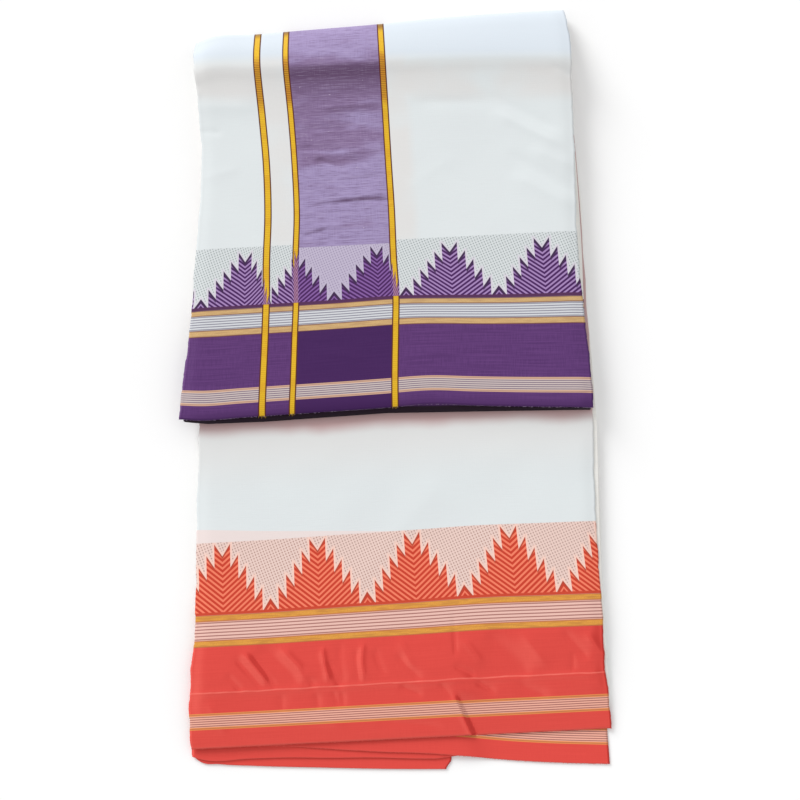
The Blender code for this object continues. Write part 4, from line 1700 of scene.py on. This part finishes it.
def folded_rows():
    """Points of the zigzag in every row of the pile, from the slit to the outer side."""
    slit, outer = pile_faces(PILE_SHARES)
    margin = INNER_WALL / 2 / PILE_HEIGHT
    depths = np.linspace(margin, 1 - margin, LAYERS_INSIDE)
    columns = []
    reach = []
    order = list(range(len(PILE_SHARES)))
    for layer, depth in enumerate(depths):
        for column in order:
            columns.append(slit[:, column] + (outer - slit)[:, column] * depth)
            reach.append(0.0)
        if layer == LAYERS_INSIDE - 1:
            break
        end = order[-1]
        outward = 1.0 if end else -1.0
        for point in range(1, FOLD_POINTS + 1):
            angle = np.pi * (point / (FOLD_POINTS + 1) - 0.5)
            between = mix(depth, depths[layer + 1], (1 + np.sin(angle)) / 2)
            columns.append(slit[:, end] + (outer - slit)[:, end] * between)
            reach.append(outward * FOLD_REACH * np.cos(angle))
        order = order[::-1]
    points = np.stack(columns, axis=1)
    points[:, :, 0] += np.array(reach)[None, :]
    return points


# %% Inner layers
# How far each fold lies in, and how much that changes along the pile
FOLDS_IN = (0.3, 1.9, 0.8, 2.2, 0.1, 1.4, 0.6, 1.1)
FOLD_GAP = 0.3
FOLD_WANDER = 0.7
FOLD_WAVE = 63
FOLD_PHASE = 2.1
FOLD_SIDES = (0.06, 0.94)

# The layers lie askew toward the right: by how much V, and between which shares of the width
ASKEW_V = 120.0
ASKEW_SHARES = (0.7, 0.9)

# V at the pile's front end, and of its last row at the violet hem
FIRST_V = 26.0
LAST_V = 1.0


def inner_layers():
    """x, y, z of the folded sheet, its U, and its V from either border."""
    points = folded_rows()
    across = points[:, :, 0] - points[:, :, 0].min(axis=1, keepdims=True)
    across = across / across.max(axis=1, keepdims=True)
    per_layer = len(PILE_SHARES) + FOLD_POINTS
    for column in range(points.shape[1]):
        layer = round((column + FOLD_POINTS // 2) / per_layer)
        wavy = FOLD_WANDER * np.sin(points[:, column, 1] / FOLD_WAVE + FOLD_PHASE * layer)
        tucked = FOLDS_IN[layer % len(FOLDS_IN)] + FOLD_REACH + FOLD_GAP
        near_left = 1 - ease(0, FOLD_SIDES[0], across[:, column])
        near_right = ease(FOLD_SIDES[1], 1, across[:, column])
        points[:, column, 0] += (tucked + wavy) * near_left - (tucked - wavy) * near_right
    x, y, z = np.moveaxis(points, -1, 0)
    run = np.hypot(np.diff(x, axis=1), np.diff(z, axis=1))
    u = np.hstack([0 * run[:, :1], np.cumsum(run, axis=1)])
    v = along_rows(y, z, FIRST_V)
    print("inner layers: cloth from border to border is", round(float(v.max())), "mm")
    from_violet = v.max(axis=0, keepdims=True) - v + LAST_V
    return x, y, z, u, v + ASKEW_V * ease(*ASKEW_SHARES, across), from_violet


# %% Cotton of the inner layers
# The folded edges' white is painted brighter than the cotton, as painted light on edges in shade
BRIGHTENED_EDGE_WHITE = screen_colour(242, 239, 232)
# The last few mm at the violet hem are painted near black, as painted shade under the flap
EDGE_VIOLET_SHADE = screen_colour(24, 2, 22)
EDGE_SHADE_V = (6.0, 9.0)
VIOLET_ENDS_V = (VIOLET_BANDS["foot"], 128.5)
THREAD_GREY_INSIDE = 0.5
FOLDED_FINISH = {"Roughness": 0.88, "Sheen Weight": 0.15, "Specular IOR Level": 0.25}


def folded_cotton():
    """Both borders on one cloth, without the spires, which can't be seen on folded edges."""
    material, tree, shader = fresh_material("folded_cotton", FOLDED_FINISH)
    u, v = cloth_place(tree, "cloth")
    _, violet_v = cloth_place(tree, "spires")
    threads = streaks(tree, u, v, *THREADS)
    # Painted light: brighter white on the folded edges
    colour = dye(tree, BRIGHTENED_EDGE_WHITE, COTTON_GREY, threads * THREAD_GREY_INSIDE)
    colour, _ = border_bands(tree, colour, u, v, ORANGE_BANDS)
    violet, _ = border_bands(tree, colour, u, violet_v, VIOLET_BANDS)
    colour = dye(tree, colour, violet, violet_v.falls(*VIOLET_ENDS_V))
    # Painted shade on the violet edges under the flap's hem
    colour = dye(tree, colour, EDGE_VIOLET_SHADE, violet_v.falls(*EDGE_SHADE_V))
    tree.links.new(colour, shader.inputs["Base Color"])
    raise_threads(tree, shader, plain_weave(u, v, threads))
    return material


inner_x, inner_y, inner_z, inner_u, from_orange, from_violet = inner_layers()
inner_maps = {"cloth": (inner_u, from_orange), "spires": (inner_u, from_violet)}
inner_cloth = cloth_sheet("inner_layers_cloth", inner_x, inner_y, inner_z, inner_maps,
                          folded_cotton(), wall=INNER_WALL, offset=0)

# %% [markdown]
# ## A recipe in Geometry Nodes
#
# A hem is never a clean line: small loops of weft stand out of it, and metal threads end in short
# tails. Geometry Nodes place hundreds of them. A tree gets a named input for each size, so the same
# tree serves several hems. The result is then kept as a plain mesh, without its modifier.

# %% Tools for Geometry Nodes
def recipe(name, sizes):
    """An empty tree with a geometry input and output, and a number input for each size."""
    tree = bpy.data.node_groups.new(name, "GeometryNodeTree")
    tree.interface.new_socket("Geometry", in_out="INPUT", socket_type="NodeSocketGeometry")
    tree.interface.new_socket("Geometry", in_out="OUTPUT", socket_type="NodeSocketGeometry")
    for size in sizes:
        tree.interface.new_socket(size, in_out="INPUT", socket_type="NodeSocketFloat")
    return tree, tree.nodes.new("NodeGroupInput").outputs


def add(tree, kind, inputs, **settings):
    """A node with its settings. Each input gets a value or the output of another node."""
    made = tree.nodes.new(kind)
    for setting, value in settings.items():
        setattr(made, setting, value)
    for place, value in inputs.items():
        if isinstance(value, bpy.types.NodeSocket):
            tree.links.new(value, made.inputs[place])
        else:
            made.inputs[place].default_value = value
    return made


# %% Grow a piece by a recipe
def finish_recipe(tree, instances, material):
    """Real faces instead of instances, with their material."""
    real = add(tree, "GeometryNodeRealizeInstances", {0: instances})
    dyed = add(tree, "GeometryNodeSetMaterial", {0: real.outputs[0], "Material": material})
    add(tree, "NodeGroupOutput", {0: dyed.outputs[0]})


def grow(name, base_mesh, tree, sizes):
    """A plain mesh piece, grown by a tree from a base mesh."""
    piece = put(name, base_mesh)
    modifier = piece.modifiers.new("grow", "NODES")
    modifier.node_group = tree
    for item in tree.interface.items_tree:
        if item.name in sizes:
            modifier[item.identifier] = sizes[item.name]
    evaluated = piece.evaluated_get(bpy.context.evaluated_depsgraph_get())
    mesh = bpy.data.meshes.new_from_object(evaluated)
    mesh.name = name
    piece.modifiers.remove(modifier)
    piece.data = mesh
    print(name, "has", len(mesh.polygons), "faces")
    return piece


# %% Random values in a recipe
# Number of the inputs and outputs of Random Value: vectors, single numbers, yes or no, and the seed
VECTOR_LOW, VECTOR_HIGH, NUMBER_LOW, NUMBER_HIGH, YES_SHARE, SEED = 0, 1, 2, 3, 6, 8
VECTOR_OUT, NUMBER_OUT, YES_OUT = 0, 1, 3


def random_vector(tree, low, high, seed):
    """A vector for each place, between two others."""
    inputs = {VECTOR_LOW: low, VECTOR_HIGH: high, SEED: seed}
    return add(tree, "FunctionNodeRandomValue", inputs,
               data_type="FLOAT_VECTOR").outputs[VECTOR_OUT]


def random_number(tree, low, high, seed):
    """A number for each place."""
    inputs = {NUMBER_LOW: low, NUMBER_HIGH: high, SEED: seed}
    return add(tree, "FunctionNodeRandomValue", inputs, data_type="FLOAT").outputs[NUMBER_OUT]


def random_choice(tree, share, seed):
    """Yes for this share of the places."""
    inputs = {YES_SHARE: share, SEED: seed}
    return add(tree, "FunctionNodeRandomValue", inputs, data_type="BOOLEAN").outputs[YES_OUT]


# %% Yarn and metal thread
def thread_material(name, colour, metallic=0.0, roughness=0.85):
    """Plain yarn or metal thread."""
    settings = {"Base Color": colour, "Metallic": metallic, "Roughness": roughness,
                "Specular IOR Level": 0.25}
    return fresh_material(name, settings)[0]


# %% [markdown]
# ## Loops and tails at the hems
#
# The first row of each sheet's points is its hem, and that line feeds the trees. One tree puts a
# ring of thread at every second place or so. The other hangs tails of metal thread from the three
# short stretches where the gold stripes end.

# %% Lines along the hems
# Number of points in each sheet's first row
FIRST_ROW = {
    flap_cloth.name: ACROSS_STEPS + 1,
    lower_panel_cloth.name: PANEL_ACROSS_STEPS + 1,
    second_hem.name: int((SECOND_SIDES[1] - SECOND_SIDES[0]) / HEM_STEP) + 1,
}


def hem_line(sheet, left=-1.0, right=1.0):
    """The front edge of a sheet between two x places, as a mesh of edges only."""
    front = [vertex.co for vertex in sheet.data.vertices[:FIRST_ROW[sheet.name]]]
    half_wall = Vector((0, 0, CLOTH_WALL / 2 * MM))
    kept = [point - half_wall for point in front if left < point.x < right]
    line = bpy.data.meshes.new(sheet.name + "_hem_line")
    line.from_pydata(kept, [(number, number + 1) for number in range(len(kept) - 1)], [])
    return line


# %% Thread loops
LOOP_SIZES = {"Spacing": 1.1 * MM, "Loop radius": 0.42 * MM, "Thread radius": 0.10 * MM,
              "Share kept": 0.6}
LOOP_TILT = 0.7
LOOP_SPIN = 3.0
LOOP_SCALES = (0.5, 1.3)
LOOP_POINTS = 7
LOOP_THREAD_POINTS = 4


def loops_tree(material, seed):
    """Rings of thread along a line, each turned and sized at random."""
    tree, sizes = recipe("thread loops along a hem", LOOP_SIZES)
    line = add(tree, "GeometryNodeMeshToCurve", {0: sizes["Geometry"]})
    places = add(tree, "GeometryNodeResampleCurve",
                 {"Curve": line.outputs[0], "Length": sizes["Spacing"]}, mode="LENGTH")
    ring = add(tree, "GeometryNodeCurvePrimitiveCircle",
               {"Resolution": LOOP_POINTS, "Radius": sizes["Loop radius"]})
    round_thread = add(tree, "GeometryNodeCurvePrimitiveCircle",
                       {"Resolution": LOOP_THREAD_POINTS, "Radius": sizes["Thread radius"]})
    loop = add(tree, "GeometryNodeCurveToMesh", {0: ring.outputs[0], 1: round_thread.outputs[0]})
    most = (LOOP_TILT, LOOP_TILT, LOOP_SPIN)
    turn = random_vector(tree, tuple(-angle for angle in most), most, seed)
    placed = add(tree, "GeometryNodeInstanceOnPoints", {
        "Points": places.outputs[0], "Instance": loop.outputs[0],
        "Selection": random_choice(tree, sizes["Share kept"], seed + 1), "Rotation": turn,
        "Scale": random_number(tree, *LOOP_SCALES, seed + 2)})
    finish_recipe(tree, placed.outputs[0], material)
    return tree


lilac_thread = thread_material("pale_lilac_thread", screen_colour(186, 164, 196))
violet_loops = grow(
    "flap_hem_loops", hem_line(flap_cloth), loops_tree(lilac_thread, 3), LOOP_SIZES)
coral_thread = thread_material("coral_thread", screen_colour(232, 104, 90))
panel_loops = grow(
    "panel_hem_loops", hem_line(lower_panel_cloth), loops_tree(coral_thread, 11), LOOP_SIZES)
second_loops = grow(
    "second_hem_loops", hem_line(second_hem), loops_tree(coral_thread, 23), LOOP_SIZES)

# %% Tails of metal thread
TAIL_SIZES = {"Spacing": 0.85 * MM, "Thread radius": 0.16 * MM, "Share kept": 0.85}
TAIL_BEND = (0.2, -1.4, 0.3)
TAIL_TIP = (-0.3, -2.6, -1.0)
TAIL_TURNS = ((-0.2, -0.3, -0.5), (0.3, 0.3, 0.5))
TAIL_SCALES = (0.3, 0.9)
TAIL_POINTS = 4
TAIL_THREAD_POINTS = 5


def tails_tree(material):
    """Bent ends of metal thread along a line."""
    tree, sizes = recipe("metal thread tails", TAIL_SIZES)
    line = add(tree, "GeometryNodeMeshToCurve", {0: sizes["Geometry"]})
    places = add(tree, "GeometryNodeResampleCurve",
                 {"Curve": line.outputs[0], "Length": sizes["Spacing"]}, mode="LENGTH")
    bent = add(tree, "GeometryNodeCurveQuadraticBezier", {
        "Resolution": TAIL_POINTS, "Start": (0, 0, 0), "Middle": Vector(TAIL_BEND) * MM,
        "End": Vector(TAIL_TIP) * MM})
    round_thread = add(tree, "GeometryNodeCurvePrimitiveCircle",
                       {"Resolution": TAIL_THREAD_POINTS, "Radius": sizes["Thread radius"]})
    tail = add(tree, "GeometryNodeCurveToMesh",
               {0: bent.outputs[0], 1: round_thread.outputs[0], "Fill Caps": True})
    placed = add(tree, "GeometryNodeInstanceOnPoints", {
        "Points": places.outputs[0], "Instance": tail.outputs[0],
        "Selection": random_choice(tree, sizes["Share kept"], 5),
        "Rotation": random_vector(tree, *TAIL_TURNS, 6),
        "Scale": random_number(tree, *TAIL_SCALES, 7)})
    finish_recipe(tree, placed.outputs[0], material)
    return tree


metal_thread = thread_material("metal_thread", STRIPE_GOLD, metallic=0.2, roughness=0.5)
metal_tails = tails_tree(metal_thread)
tail_pieces = []
for number, middle in enumerate(STRIPE_LINES[1][1:]):
    reach = STRIPE_WIDTHS[number] / 2
    stretch = hem_line(flap_cloth, (middle - reach) * MM, (middle + reach) * MM)
    tail_pieces.append(grow(f"stripe_{number + 1}_tails", stretch, metal_tails, TAIL_SIZES))

# %% [markdown]
# ## Slubs in the lilac band
#
# Handloom yarn has thick places, which show as pale specks where the violet weft crosses the white
# warp. A second tree scatters them over the flap, but only where the UV map says lilac.

# %% Slubs
SLUB_SIZES = {"Slubs per square metre": 700.0, "Slub length": 1.0 * MM, "Slub width": 0.26 * MM}
SLUB_U = (0.1226, 0.2252)
SLUB_V = (0.2, 0.48)
SLUB_SCALES = ((0.3, 0.6, 0.6), (1.6, 1.2, 1.2))
SLUB_SEGMENTS = 6
SLUB_RINGS = 4


def slubs_tree(material):
    """Long beads on a mesh, where its UV map is between the limits in metres."""
    tree, sizes = recipe("slubs", SLUB_SIZES)
    cloth_map = add(tree, "GeometryNodeInputNamedAttribute", {"Name": "cloth"},
                    data_type="FLOAT_VECTOR")
    place = add(tree, "ShaderNodeSeparateXYZ", {0: cloth_map.outputs[0]})
    limits = []
    for axis, (low, high) in enumerate((SLUB_U, SLUB_V)):
        for operation, limit in (("GREATER_THAN", low), ("LESS_THAN", high)):
            limits.append(add(tree, "ShaderNodeMath", {0: place.outputs[axis], 1: limit},
                              operation=operation).outputs[0])
    inside = limits[0]
    for limit in limits[1:]:
        inside = add(tree, "ShaderNodeMath", {0: inside, 1: limit},
                     operation="MULTIPLY").outputs[0]
    places = add(tree, "GeometryNodeDistributePointsOnFaces", {
        "Mesh": sizes["Geometry"], "Selection": inside,
        "Density": sizes["Slubs per square metre"], "Seed": 8})
    upright = add(tree, "FunctionNodeAlignRotationToVector",
                  {"Vector": places.outputs["Normal"]}, axis="Z")
    bead = add(tree, "GeometryNodeMeshUVSphere",
               {"Segments": SLUB_SEGMENTS, "Rings": SLUB_RINGS, "Radius": 1.0})
    size = add(tree, "ShaderNodeCombineXYZ",
               {0: sizes["Slub length"], 1: sizes["Slub width"], 2: sizes["Slub width"]})
    shaped = add(tree, "GeometryNodeTransform", {0: bead.outputs[0], "Scale": size.outputs[0]})
    placed = add(tree, "GeometryNodeInstanceOnPoints", {
        "Points": places.outputs["Points"], "Instance": shaped.outputs[0],
        "Rotation": upright.outputs[0],
        "Scale": random_vector(tree, *SLUB_SCALES, 9)})
    finish_recipe(tree, placed.outputs[0], material)
    return tree


slub_yarn = thread_material("slub_yarn", screen_colour(206, 192, 214))
slubs = grow("lilac_slubs", flap_cloth.data.copy(), slubs_tree(slub_yarn), SLUB_SIZES)

# %% [markdown]
# ## The pieces in their places
#
# Each sheet takes the place of its imported solid and rides on the one body. The grown pieces
# belong to the sheet that they sit on.

# %% Bodies, slots and sheets
# Sheet, slot, the imported solids it replaces, flat size in metres, what it rests on, grown pieces
PLACES = (
    (flap_cloth, "white_violet_cotton", ["violet_end_cloth"], (0.44, 0.535),
     ["inner_layers_cloth"], [violet_loops, slubs, *tail_pieces]),
    (lower_panel_cloth, "white_orange_cotton", ["orange_end_cloth"], (0.44, 0.81),
     ["inner_layers_cloth", "second_hem_cloth"], [panel_loops]),
    (second_hem, "orange_hem_cotton", ["second_layer_hem"], (0.436, 0.088),
     ["third_hem_cloth"], [second_loops]),
    (third_hem, "orange_hem_cotton", ["third_layer_hem"], (0.272, 0.086),
     ["lowest_hem_cloth"], []),
    (lowest_hem, "orange_hem_cotton", ["lowest_layer_hem"], (0.268, 0.095), ["floor"], []),
    (inner_cloth, "layered_cotton", ["hidden_layers"], (3.08, 1.24), ["floor"], []),
)
for piece, slot, nodes, flat, below, grown in PLACES:
    for part in [piece, *grown]:
        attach(part, "root")
    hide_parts(*nodes)
